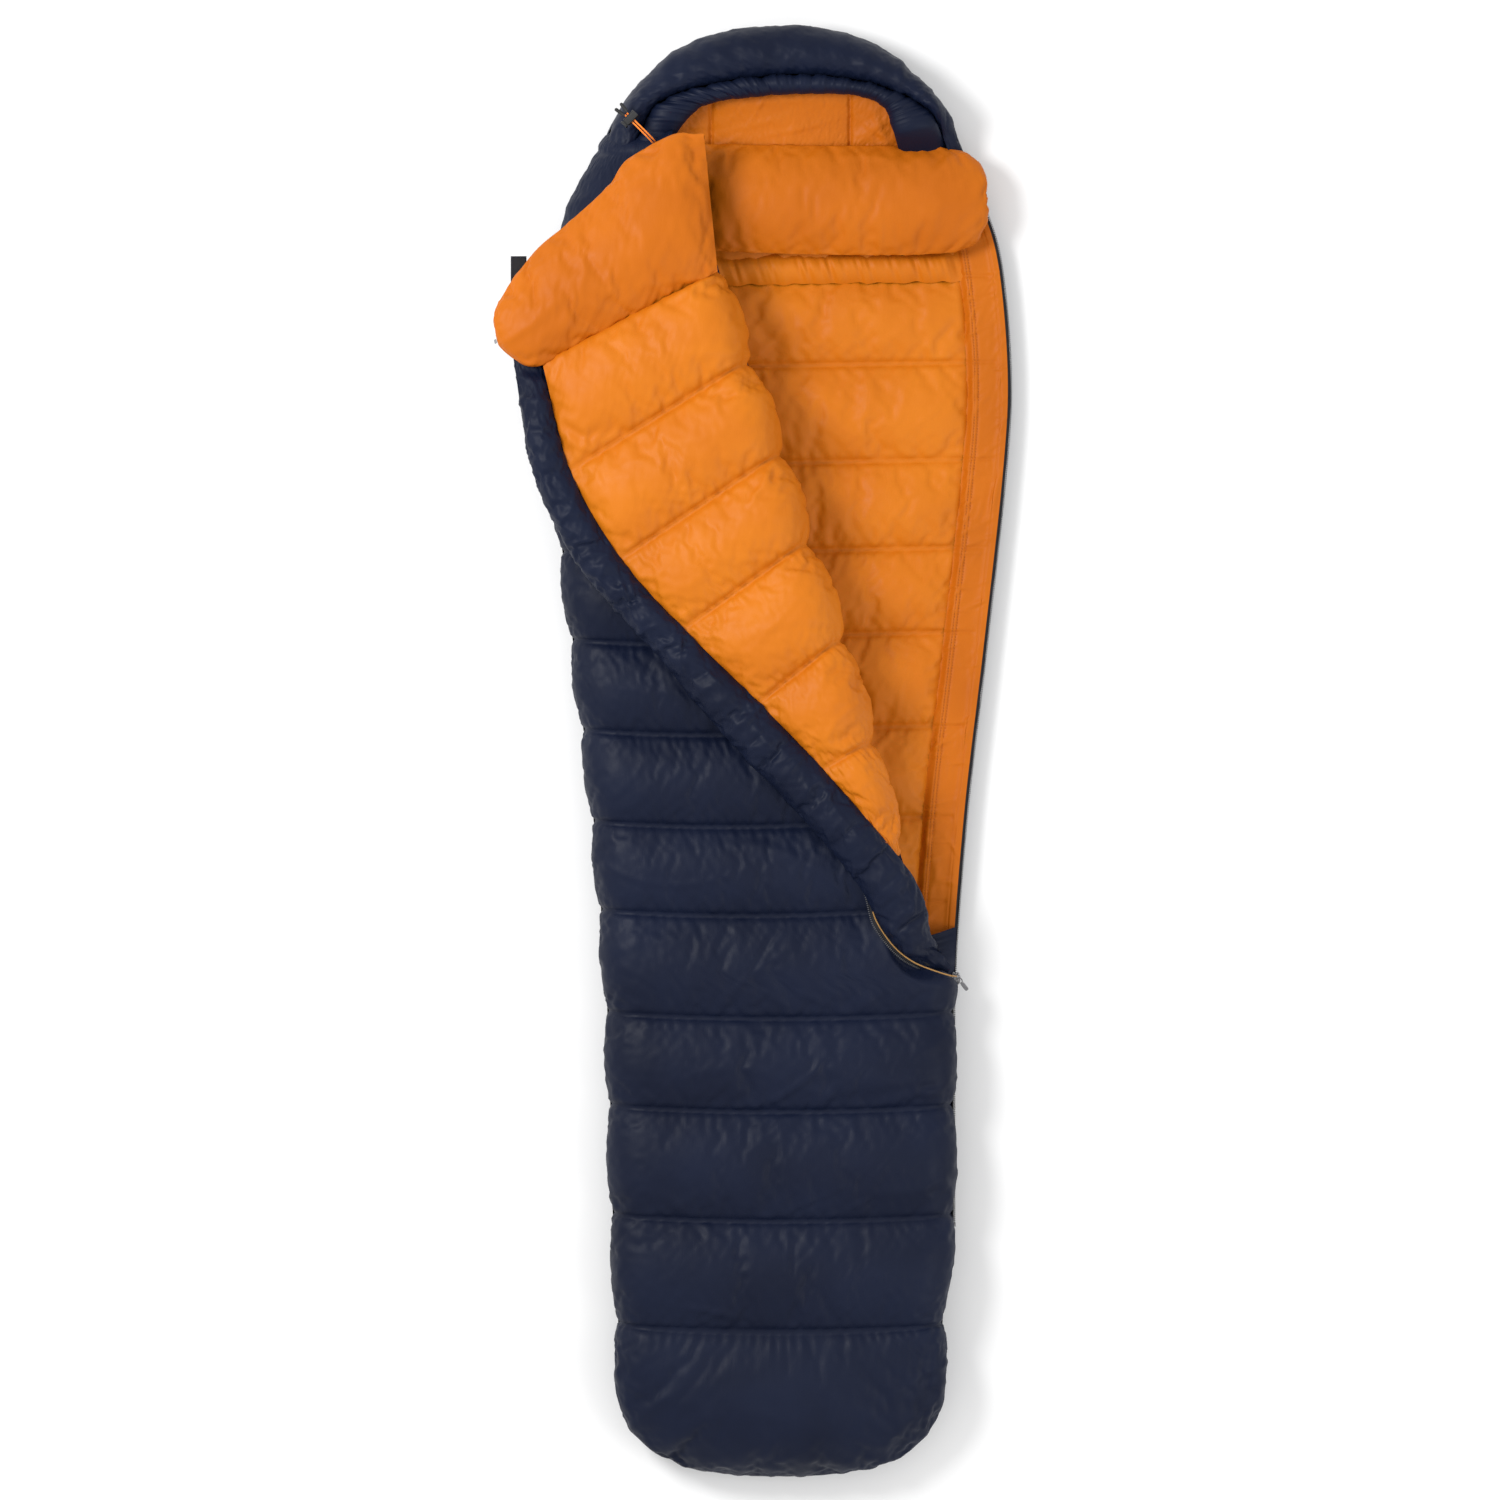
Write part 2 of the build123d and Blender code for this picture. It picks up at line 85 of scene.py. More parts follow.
# The flap at each of its sewn rows, from the slider to the collar:
# edge with the zip, border between the zip's strip and the lining, outermost point of the fold
FLAP_ROWS = [((0.244, -0.324), (0.250, -0.314), (0.252, -0.312)),
             ((0.184, -0.297), (0.220, -0.268), (0.222, -0.266)),
             ((0.143, -0.250), (0.205, -0.205), (0.208, -0.202)),
             ((0.108, -0.186), (0.160, -0.138), (0.168, -0.150)),
             ((0.012, -0.075), (0.060, -0.024), (0.126, 0.013)),
             ((-0.085, 0.028), (-0.032, 0.072), (0.082, 0.162)),
             ((-0.194, 0.158), (-0.141, 0.179), (0.033, 0.303)),
             ((-0.288, 0.265), (-0.232, 0.281), (-0.006, 0.432)),
             ((-0.358, 0.400), (-0.306, 0.409), (-0.053, 0.565)),
             ((-0.391, 0.585), (-0.348, 0.570), (-0.096, 0.700))]
FLAP_TIP_ROW = 3              # the lining shows from this row on
# The flap's collar pillow in plan: its seam with the flap, and its neck edge
COLLAR_LOW = [(-0.416, 0.624), (-0.408, 0.592), (-0.380, 0.568), (-0.346, 0.564), (-0.272, 0.604),
              (-0.180, 0.652), (-0.120, 0.684), (-0.092, 0.698)]
COLLAR_HIGH = [(-0.416, 0.626), (-0.406, 0.660), (-0.356, 0.728), (-0.315, 0.763), (-0.278, 0.796),
               (-0.250, 0.822), (-0.228, 0.856), (-0.196, 0.875), (-0.158, 0.895), (-0.112, 0.898)]
COLLAR_THICKNESS = 0.044
FLAP_SEAM_Z = 0.150
FLAP_UNDER_Z = 0.1208
EDGE_Z = [0.068, 0.112, 0.126, 0.131, 0.136, 0.138, 0.138, 0.138, 0.138, 0.138]
BORDER_Z = [0.072, 0.108, 0.132, 0.147, 0.150, 0.150, 0.150, 0.150, 0.150, 0.150]

# The hood at stations from its left end over the top to its right end:
# silhouette, seam of the brim, inner edge of the brim
HOOD_ROWS = [((-0.262, 0.862), (-0.222, 0.874), (-0.172, 0.878)),
             ((-0.238, 0.938), (-0.188, 0.941), (-0.130, 0.934)),
             ((-0.204, 0.984), (-0.145, 0.966), (-0.095, 0.951)),
             ((-0.150, 1.030), (-0.085, 0.981), (-0.052, 0.957)),
             ((-0.075, 1.058), (-0.030, 0.989), (-0.015, 0.961)),
             ((0.010, 1.065), (0.030, 0.992), (0.030, 0.963)),
             ((0.095, 1.054), (0.085, 0.988), (0.080, 0.963)),
             ((0.158, 1.026), (0.135, 0.978), (0.122, 0.958)),
             ((0.204, 0.984), (0.185, 0.960), (0.152, 0.942)),
             ((0.243, 0.940), (0.222, 0.933), (0.163, 0.915)),
             ((0.274, 0.866), (0.254, 0.868), (0.184, 0.858))]

HOOD_SEAM_X = 0.102           # the two seams of the hood's lining lie this far off the middle

CORD_DIAMETER = 0.0025
# Each strand leaves the brim, turns under the flap's collar and comes up to the lock
CORDS = {"hood_cord_left": [(-0.186, 0.909, 0.087), (-0.186, 0.88757, 0.087),
                            (-0.18539, 0.88757, 0.1265), (-0.22685, 0.92784, 0.1265)],
         "hood_cord_right": [(-0.182, 0.909, 0.087), (-0.182, 0.89043, 0.087),
                             (-0.18261, 0.89043, 0.1265), (-0.22406, 0.93071, 0.1265)]}


# ---- camera
def make_camera():
    """Straight above the bag, with the head at the picture's top."""
    height, seen = 8.1, 2.19
    data = bpy.data.cameras.new("camera")
    data.sensor_width = 36
    data.lens = 36 * (height - 0.1) / seen
    camera = link("camera", data)
    camera.location = (-0.045, 0.0037, height)
    bpy.context.scene.camera = camera


# ---- materials
class Nodes:
    """A short way to wire one material."""

    def __init__(self, name):
        self.material = bpy.data.materials.new(name)
        self.material.use_nodes = True
        self.tree = self.material.node_tree
        self.shader = self.tree.nodes["Principled BSDF"]
        self.place = self.add("ShaderNodeTexCoord").outputs["Object"]

    def add(self, kind, **values):
        node = self.tree.nodes.new(kind)
        for key, value in values.items():
            if hasattr(node, key):
                setattr(node, key, value)
            else:
                self.give(node.inputs[key.replace("_", " ")], value)
        return node

    def give(self, socket, value):
        if isinstance(value, bpy.types.NodeSocket):
            self.tree.links.new(value, socket)
        else:
            socket.default_value = value

    def set(self, **values):
        for key, value in values.items():
            self.give(self.shader.inputs[key.replace("_", " ")], value)

    def noise(self, scale, detail=3.0, distortion=0.0, stretch=(1, 1, 1), roughness=0.5):
        mapped = self.add("ShaderNodeMapping", Vector=self.place, Scale=stretch)
        return self.add("ShaderNodeTexNoise", Vector=mapped.outputs[0], Scale=scale, Detail=detail,
                        Distortion=distortion, Roughness=roughness).outputs["Fac"]

    def mix(self, factor, first, second):
        node = self.add("ShaderNodeMix", data_type="RGBA")
        for index, value in ((0, factor), (6, first), (7, second)):
            self.give(node.inputs[index], value)
        return node.outputs[2]

    def ramp(self, value, low, high, first=0.0, last=1.0):
        node = self.add("ShaderNodeMapRange", Value=value)
        for key, number in (("From Min", low), ("From Max", high), ("To Min", first), ("To Max", last)):
            node.inputs[key].default_value = number
        return node.outputs[0]

    def bump(self, height, distance, strength=1.0, below=None):
        node = self.add("ShaderNodeBump", Height=height, Distance=distance, Strength=strength)
        if below is not None:
            self.give(node.inputs["Normal"], below)
        return node.outputs[0]

    def wave(self, scale, direction, distortion=0.0):
        return self.add("ShaderNodeTexWave", Vector=self.place, Scale=scale, Distortion=distortion,
                        bands_direction=direction).outputs["Fac"]


def nylon(name, deep, clear, roughness, specular):
    """Thin woven nylon over down: soft colour drift, fine creases and a satin sheen."""
    n = Nodes(name)
    drift = n.ramp(n.noise(7, 4), 0.35, 0.65)
    crease = n.noise(60, 6, 1.8, (1.0, 0.35, 1.0), 0.55)
    weave = n.add("ShaderNodeMath", operation="MULTIPLY")
    n.give(weave.inputs[0], n.wave(520, "X"))
    n.give(weave.inputs[1], n.wave(520, "Y"))
    lines = n.bump(weave.outputs[0], 0.0001, 0.25)
    folds = n.bump(crease, 0.0012, 0.30, lines)
    n.set(Base_Color=n.mix(drift, (*deep, 1), (*clear, 1)), Normal=folds)
    n.set(Roughness=n.ramp(n.noise(60, 4), 0.3, 0.7, roughness - 0.05, roughness + 0.07))
    n.set(Specular_IOR_Level=specular)
    return n.material


def webbing(name, tone, rib_scale, direction):
    """Ribbed woven tape, with a painted highlight on each rib's crest."""
    n = Nodes(name)
    rib = n.wave(rib_scale, direction, 0.4)
    light = (*(c * 1.9 + 0.004 for c in tone), 1)
    # Where the ribs rise, the colour goes over to the lighter tone: a painted highlight on the crests, over
    # the tape's own colour
    n.set(Base_Color=n.mix(n.ramp(rib, 0.2, 0.8), (*tone, 1), light), Roughness=0.78)
    n.set(Normal=n.bump(rib, 0.0003, 0.8, n.bump(n.noise(900, 2), 0.0002, 0.4)))
    return n.material


def plastic(name, tone, roughness, grain):
    """Moulded plastic or rubber with a fine grain."""
    n = Nodes(name)
    light = (*(c * 1.5 + 0.003 for c in tone), 1)
    n.set(Base_Color=n.mix(n.ramp(n.noise(40, 3), 0.4, 0.6), (*tone, 1), light))
    n.set(Roughness=n.ramp(n.noise(160, 3), 0.3, 0.7, roughness - 0.06, roughness + 0.08))
    n.set(Normal=n.bump(n.noise(grain, 2), 0.0001, 0.5))
    return n.material


def metal(name, tone, roughness):
    """Cast metal with soft wear marks."""
    n = Nodes(name)
    dark = (*(c * 0.6 for c in tone), 1)
    n.set(Base_Color=n.mix(n.ramp(n.noise(220, 5), 0.35, 0.65), dark, (*tone, 1)), Metallic=0.95)
    n.set(Roughness=n.ramp(n.noise(320, 4), 0.3, 0.7, roughness, roughness + 0.22))
    n.set(Normal=n.bump(n.noise(700, 3), 0.0001, 0.35))
    return n.material


MATERIAL_TABLE = [
    (nylon, "navy_nylon", (0.0032, 0.0060, 0.0195), (0.0050, 0.0088, 0.0262), 0.50, 0.15),
    (nylon, "orange_nylon", (0.530, 0.138, 0.0040), (0.590, 0.165, 0.0058), 0.50, 0.18),
    # The same orange nylon made darker: a painted shade copy, used for the collar pillows, the hood's lining
    # and the zip's facing
    (nylon, "orange_nylon_deep", (0.455, 0.108, 0.0030), (0.520, 0.130, 0.0042), 0.50, 0.15),
    (webbing, "black_tape", (0.006, 0.006, 0.008), 420, "Y"),
    (plastic, "coil_plastic", (0.040, 0.040, 0.045), 0.36, 1500),
    (webbing, "golden_piping", (0.30, 0.16, 0.045), 500, "Y"),
    (metal, "zip_metal", (0.30, 0.30, 0.31), 0.26),
    (webbing, "orange_cord", (0.75, 0.20, 0.02), 700, "DIAGONAL"),
    (plastic, "black_plastic", (0.004, 0.004, 0.005), 0.45, 1200),
    (plastic, "black_rubber", (0.005, 0.005, 0.006), 0.62, 900),
    (metal, "spring_steel", (0.50, 0.50, 0.52), 0.32),
    (webbing, "orange_thread", (0.30, 0.070, 0.006), 900, "DIAGONAL"),
    (webbing, "navy_thread", (0.010, 0.015, 0.034), 900, "DIAGONAL")]


# ---- curves and grids
def rail(points, at):
    """Points on a smooth line that meets each chosen point at a whole value of `at`."""
    p = np.array(points, float)
    p = np.vstack([2 * p[0] - p[1], p, 2 * p[-1] - p[-2]])
    at = np.asarray(at, float)
    k = np.clip(np.floor(at).astype(int), 0, len(points) - 2)
    f = (at - k)[:, None]
    a, b, c, d = p[k], p[k + 1], p[k + 2], p[k + 3]
    return 0.5 * (2 * b + (c - a) * f + (2 * a - 5 * b + 4 * c - d) * f**2 + (3 * b - a - 3 * c + d) * f**3)


def even(line, count):
    """The same line as evenly spaced points."""
    gaps = np.linalg.norm(np.diff(line, axis=0), axis=1)
    run = np.concatenate([[0], np.cumsum(gaps)])
    want = np.linspace(0, run[-1], count)
    return np.stack([np.interp(want, run, line[:, k]) for k in range(line.shape[1])], axis=1)


def smooth_line(points, count):
    return even(rail(points, np.linspace(0, len(points) - 1, 30 * len(points))), count)


def between(first, second, share):
    """A grid of plan or space points from one line across to another."""
    return first[:, None] + (second - first)[:, None] * share[None, :, None]


def spread(stops, step):
    """Rows from stop to stop, and which rows lie on a stop."""
    rows, sewn = [], []
    for a, b in zip(stops, stops[1:]):
        count = max(2, round(abs(b - a) / step))
        sewn.append(len(rows))
        rows.extend(a + (b - a) * np.arange(count) / count)
    return np.array(rows + [stops[-1]]), sewn + [len(rows)]


def chamber_swell(count, sewn, power=0.75):
    """0 on the sewn rows and 1 halfway between them, for each row."""
    swell = np.zeros(count)
    for a, b in zip(sewn, sewn[1:]):
        swell[a:b + 1] = dome(b - a + 1, power)
    return swell


def normals(grid):
    """Unit normals of a grid of points, down the rows crossed with along them."""
    n = np.cross(np.gradient(grid, axis=1), np.gradient(grid, axis=0))
    return n / np.maximum(np.linalg.norm(n, axis=2, keepdims=True), 1e-9)


def lifted(grid, lift):
    return grid + normals(grid) * np.broadcast_to(lift, grid.shape[:2])[..., None]


def dome(count, power):
    """0 at both ends and 1 in the middle of a line of points."""
    return np.sin(np.linspace(0, math.pi, count)).clip(0) ** power


def ripple(length, waves, seed):
    """Smooth uneven waves along a line, about -1 to 1."""
    random = np.random.default_rng(seed)
    x = np.linspace(0, 1, length)
    total = np.zeros(length)
    for share, height in ((0.55, 0.5), (1.0, 0.8), (1.7, 0.4)):
        bend = 0.35 * np.sin(2 * math.pi * (x * 3.1 + random.random()))
        total += height * np.sin(2 * math.pi * (x * waves * share + random.random()) + bend * 3)
    return total / 1.3


def refine(grid):
    """Twice as many rows and columns, smoothly in between."""
    for axis in (0, 1):
        g = np.moveaxis(grid, axis, 0)
        padded = np.concatenate([2 * g[:1] - g[1:2], g, 2 * g[-1:] - g[-2:-1]])
        middle = (9 * (g[:-1] + g[1:]) - padded[:-3] - padded[3:]) / 16
        out = np.empty((2 * len(g) - 1, *g.shape[1:]))
        out[0::2], out[1::2] = g, middle
        grid = np.moveaxis(out, 0, axis)
    return grid


def grid_faces(rows, columns, around=False):
    """Quads of a grid, as lists; around joins its last row to its first."""
    i, j = np.meshgrid(np.arange(rows if around else rows - 1), np.arange(columns - 1), indexing="ij")
    after = (i + 1) % rows
    corners = [i * columns + j, i * columns + j + 1, after * columns + j + 1, after * columns + j]
    return np.stack(corners, axis=-1).reshape(-1, 4).tolist()


def link(name, data):
    item = bpy.data.objects.new(name, data)
    bpy.context.scene.collection.objects.link(item)
    return item


def smooth_mesh(name, points, faces, material):
    mesh = bpy.data.meshes.new(name)
    mesh.from_pydata(np.asarray(points, float).reshape(-1, 3).tolist(), [], faces)
    mesh.polygons.foreach_set("use_smooth", [True] * len(mesh.polygons))
    mesh.materials.append(MATERIALS[material])
    return mesh


def mesh_piece(name, points, faces, material):
    piece = link(name, smooth_mesh(name, points, faces, material))
    return piece


def grid_piece(name, grid, material, around=False):
    return mesh_piece(name, grid, grid_faces(*grid.shape[:2], around), material)


def attach(piece, body, nodes=()):
    """Rides a body, or stays where it is when body is not a name; hides the model's parts that the piece
    stands for.
    """
    if isinstance(body, str):
        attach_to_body(piece, body)
    else:
        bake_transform(piece)
    if nodes:
        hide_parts(*nodes)


# ---- filling with down
FILLINGS = []


def fill_with_down(name, grid, sewn, material, finish, pressure, spare, cap, around=False):
    """Queues a sheet for the simulation; finish(grid, seams) gets the filled, refined sheet."""
    rows, columns = grid.shape[:2]
    held = np.zeros((rows, columns), bool)
    held[list(sewn)] = True
    held[:, [0, -1]] = True
    if not around:
        held[[0, -1]] = True
    start = grid + normals(grid) * rng.normal(0, 0.0003, (rows, columns, 1)) * ~held[..., None]
    FILLINGS.append(dict(piece=grid_piece(name, start, material, around), grid=start, held=held,
                         sewn=sewn, finish=finish, cap=cap, pressure=pressure, spare=spare,
                         around=around, material=material))


def add_cloth(job):
    piece = job["piece"]
    group = piece.vertex_groups.new(name="sewn")
    group.add(np.flatnonzero(job["held"].ravel()).tolist(), 1.0, "REPLACE")
    cloth = piece.modifiers.new("Cloth", "CLOTH")
    for key, value in {"quality": 5, "mass": 0.15, "vertex_group_mass": "sewn", "pin_stiffness": 1.0,
                       "tension_stiffness": 12, "compression_stiffness": 12, "shear_stiffness": 6,
                       "bending_stiffness": 0.05, "air_damping": 2.0, "use_pressure": True,
                       "uniform_pressure_force": job["pressure"], "shrink_min": -job["spare"]}.items():
        setattr(cloth.settings, key, value)
    cloth.settings.effector_weights.gravity = 0
    cloth.collision_settings.use_collision = False
    cloth.collision_settings.use_self_collision = False
    cloth.point_cache.frame_start, cloth.point_cache.frame_end = 1, FRAMES


def run_fillings():
    """Simulates every queued sheet at once, then gives each its final mesh."""
    scene = bpy.context.scene
    scene.frame_start, scene.frame_end = 1, FRAMES
    for job in FILLINGS:
        add_cloth(job)
    for number in range(1, FRAMES + 1):
        scene.frame_set(number)
    graph = bpy.context.evaluated_depsgraph_get()
    for job in FILLINGS:
        grid = job["grid"]
        flat = np.zeros(grid.size, np.float32)
        job["piece"].evaluated_get(graph).data.vertices.foreach_get("co", flat)
        moved = flat.reshape(grid.shape) - grid
        length = np.linalg.norm(moved, axis=2, keepdims=True)
        grid = grid + moved * np.minimum(1, job["cap"] / np.maximum(length, 1e-9))
        job["filled"] = grid
    for job in FILLINGS:
        piece, grid = job["piece"], job["filled"]
        if job["around"]:
            grid = np.concatenate([grid, grid[:1]])
        grid = job["finish"](refine(grid), [2 * k for k in job["sewn"]])
        piece.modifiers.clear()
        piece.vertex_groups.clear()
        old = piece.data
        piece.data = smooth_mesh(piece.name + "_filled", grid, grid_faces(*grid.shape[:2]),
                                 job["material"])
        bpy.data.meshes.remove(old)


def pucker(grid, sewn, depth, waves, reach=5, seed=1):
    """Small gathers and longer slanted creases that run out of each sewn row, on a refined sheet."""
    rows, columns = grid.shape[:2]
    lift = np.zeros((rows, columns))
    for number, row in enumerate(sewn):
        for side in (-1, 1):
            start = seed + 10 * number + 3 * side
            short, long = ripple(columns, waves, start), ripple(columns, waves * 0.36, start + 1)
            strength = 0.5 + 0.5 * ripple(columns, 2.2, start + 2)
            slant = 1.5 * np.random.default_rng(start).normal()
            for k in range(1, 4 * reach):
                if 0 <= row + side * k < rows:
                    near = math.exp(-(k / reach) ** 2) * min(1, k / 2)
                    far = math.exp(-(k / (2.4 * reach)) ** 2) * min(1, k / 5)
                    crease = np.roll(long, round(k * slant)) * far * 0.8 * strength
                    lift[row + side * k] += depth * (0.6 * short * near + crease)
    return lifted(grid, lift)


def groove(grid, sewn, depth, above=-1.0):
    """A narrow furrow along each sewn row of a refined sheet, where it lies above a height."""
    depth = depth * ease(grid[..., 2], above, above + 0.012)
    lift = np.zeros(grid.shape[:2])
    for row in sewn:
        for off, share in ((-1, 0.35), (0, 1.0), (1, 0.35)):
            if 0 <= row + off < len(grid):
                lift[row + off] -= depth[row + off] * share
    return lifted(grid, lift)


def creases(grid, sewn, count, depth, seed, tilt=0.0, scatter=0.5, broad=0.009, long=0.06):
    """Soft creases at chosen angles in plan, each a ridge between two valleys; sewn rows stay."""
    random = np.random.default_rng(seed)
    rows, columns = grid.shape[:2]
    x, y = grid[..., 0], grid[..., 1]
    lift = np.zeros((rows, columns))
    for _ in range(count):
        centre = grid[random.integers(2, rows - 2), random.integers(2, columns - 2)]
        angle = math.radians(tilt) + scatter * random.normal()
        wide, length = broad * random.uniform(0.6, 1.7), long * random.uniform(0.6, 1.5)
        dx, dy = x - centre[0], y - centre[1]
        along = dx * math.cos(angle) + dy * math.sin(angle)
        across = dy * math.cos(angle) - dx * math.sin(angle) + random.normal() * along**2 * 2
        t = (across / wide) ** 2
        lift += random.uniform(0.4, 1.0) * (1 - t) * np.exp(-t - (along / length) ** 2)
    free = chamber_swell(rows, sewn, 0.4) if len(sewn) else np.ones(rows)
    return lifted(grid, depth * lift * free[:, None])


# ---- the bag's outline and fold
WIDTH_LINE = rail(HALF_WIDTHS, np.linspace(0, len(HALF_WIDTHS) - 1, 400))


def half_width(y):
    foot = np.clip((FOOT_ROUND_Y - np.asarray(y, float)) / (FOOT_ROUND_Y - FOOT_Y), 0, 1)
    return np.interp(y, WIDTH_LINE[:, 0], WIDTH_LINE[:, 1]) * (1 - foot**3) ** 0.4


def zip_side(y):
    """Half width on the zip's side, whose closed part runs straight so that the slider can."""
    w = half_width(y)
    return w + np.maximum(ZIP_X - 0.001 - w, 0) * ease(y, -0.80, -0.70)


def fold_x(y):
    along = (y - FOLD_START[1]) / (FOLD_END[1] - FOLD_START[1])
    return FOLD_START[0] + along * (FOLD_END[0] - FOLD_START[0])


def ease(value, low, high):
    t = np.clip((value - low) / (high - low), 0, 1)
    return t * t * (3 - 2 * t)


def foot_line(count, z):
    """The bag's end from one side, round the foot, to the other."""
    y = FOOT_Y + (FOOT_ROUND_Y + 0.03 - FOOT_Y) * np.linspace(1, 0, 300) ** 2.2
    left = np.stack([-half_width(y), y], axis=1)
    whole = np.vstack([left, left[::-1] * (-1, 1)])
    line = even(whole, count)
    return np.column_stack([line, np.full(count, z)])


def arc(centre_x, centre_z, radius, start, end, count=24):
    a = np.radians(np.linspace(start, end, count))
    return np.column_stack([centre_x + radius * np.cos(a), centre_z + radius * np.sin(a)])


def front_section(y, columns):
    """The front's outer fabric across the bag, from the left side's seam to the zip or the fold."""
    w = float(half_width(y))
    shifted, raised = float(ease(y, -0.345, -0.305)), float(ease(y, -0.350, -0.290))
    right_x = (float(zip_side(y)) - 0.001) * (1 - shifted) + (fold_x(y) - 0.010) * shifted
    right_z = ZIP_Z + 0.001 + (FOLD_Z - 0.002 - ZIP_Z) * raised
    top = TOP_SEAM_Z
    left_radius, right_radius = top - EQUATOR_Z, max(top - right_z, 0.0005)
    line = np.vstack([arc(-w + left_radius, EQUATOR_Z, left_radius, 180, 90),
                      arc(right_x - right_radius, top - right_radius, right_radius, 90, 0)])
    section = even(line, columns)
    rise = np.clip(1 - (right_x - section[:, 0]) / 0.09, 0, 1) ** 2 * max(right_z - top, 0)
    z = section[:, 1] + rise
    sag = 0.010 * (1 - np.linspace(-1, 1, columns) ** 2)
    return np.column_stack([section[:, 0], np.full(columns, y) - sag * ease(y, -1.0, -0.9), z])


def foot_rows(first, last, count):
    """Rows that turn from a straight seam into the round end."""
    turn = np.linspace(0, math.pi / 2, count + 1)[1:, None]
    rows = first[None] + (last - first)[None] * np.sin(turn)[..., None]
    rows[..., 2] = last[:, 2] + (first[:, 2] - last[:, 2]) * np.cos(turn)
    return rows


def neck_rows(neck):
    """The front's rounded end at the neck, whose left shoulder turns in towards the hood."""
    turn = np.linspace(0, math.pi / 2, 9)[1:, None]
    x = neck[:, 0] + 0.038 * (1 - np.cos(turn)) * ease(-neck[:, 0], 0.13, 0.26)
    y = neck[:, 1] + 0.031 * np.sin(turn)
    return np.dstack([x, y, EQUATOR_Z + (neck[:, 2] - EQUATOR_Z) * (0.30 + 0.70 * np.cos(turn))])


def front_shell():
    columns = 76
    stops = SHELL_SEAMS + [NECK_Y]
    ys, sewn = spread(stops, STEP)
    body = np.array([front_section(y, columns) for y in ys])
    foot = foot_rows(body[0], foot_line(columns, EQUATOR_Z), 24)[::-1]
    grid = np.concatenate([foot, body, neck_rows(body[-1])])
    sewn = [0] + [k + len(foot) for k in sewn]
    grid = lifted(grid, chamber_swell(len(grid), sewn)[:, None] * dome(columns, 0.3)[None] * 0.018)

    def finish(g, seams):
        g = pucker(g, seams[1:-1], 0.0010, 34, 5, 100)
        g = creases(g, seams, 70, 0.0026, 110, 12, 0.42, 0.011, 0.090)
        g = groove(creases(g, seams, 40, 0.0011, 120, 75, 0.7, 0.006, 0.030), seams[1:-1], 0.0026)
        return keep_under_flap(g)

    fill_with_down("bag_front_shell", grid, sewn, "navy_nylon", finish, 3.0, 0.013, 0.014)


def keep_under_flap(g):
    """Flattens the front where the flap lies on it, and keeps its side off the floor."""
    x, y = g[..., 0], g[..., 1]
    beyond = (x - fold_x(y)) * 0.955
    covered = ease(-beyond, -0.03, 0.0) * ease(y, -0.350, -0.310)
    covered = covered * ease(flap_edge_distance(x, y), -0.050, -0.008)
    near_slider = 1 - ease(np.hypot(x - 0.235, y + 0.318), 0.02, 0.12)
    ceiling = FRONT_CEILING_Z + (1 - covered) * 0.03 - 0.030 * near_slider * ease(x, 0.10, 0.2)
    return limit(g, -1, ceiling)


def limit(g, low, high):
    """Keeps a grid's heights between two limits."""
    g[..., 2] = np.clip(g[..., 2], low, high)
    return g


def flap_edge_distance(x, y):
    """How far inside the flap's zip edge a plan point lies, in metres, roughly."""
    edge = flap_rail(0, np.linspace(0, len(FLAP_ROWS) - 1, 120))
    edge = edge[np.argsort(edge[:, 0])]
    return y - np.interp(x, edge[:, 0], edge[:, 1])


# ---- the back
def back_section(y, columns):
    """The back's outer fabric across the bag, under it from the left seam to the right edge."""
    w = float(half_width(y))
    right_x = float(zip_side(y)) - 0.001
    right_z = 0.027 + (ZIP_Z - 0.028) * (1 - float(ease(y, -0.345, -0.295)))
    low = 0.0012
    left, right = EQUATOR_Z - low, right_z - low
    line = np.vstack([arc(-w + left, EQUATOR_Z, left, 180, 270),
                      arc(right_x - right, right_z, right, 270, 360)])
    section = even(line, columns)
    return np.column_stack([section[:, 0], np.full(columns, y), section[:, 1]])


def back_shell():
    columns = 110
    stops = SHELL_SEAMS + [0.80, 0.90]
    ys, sewn = spread(stops, 0.010)
    body = np.array([back_section(y, columns) for y in ys])
    foot = foot_rows(body[0], foot_line(columns, EQUATOR_Z), 20)[::-1]
    hood = foot_rows(body[-1], hood_line(columns, 0.046), 16)
    grid = np.concatenate([foot, body, hood])
    sewn = [0] + [k + len(foot) for k in sewn] + [len(grid) - 1]
    edges = (1 - np.linspace(-1, 1, columns) ** 8)[None]
    grid = lifted(grid, -chamber_swell(len(grid), sewn)[:, None] * edges * 0.006)
    grid = pucker(grid, sewn, 0.0016, 30, 3, 300)
    piece = grid_piece("bag_back_shell", limit(grid, 0.0002, 1)[:, ::-1], "navy_nylon")
    attach(piece, "sleeping_bag", ["back_shell", "back_down", "back_baffle_walls", "foot_box_shell",
                                   "foot_box_down", "foot_box_lining", "zip_side_shell",
                                   "zip_side_down", "zip_side_lining"])


def hood_line(count, z):
    line = smooth_line([(-0.262, 0.893)] + [row[0] for row in HOOD_ROWS[1:]], count)
    return np.column_stack([line, np.full(count, z)])


def facing_x(y):
    """Inner edge of the flat strip beside the zip."""
    return half_width(y) - 0.062


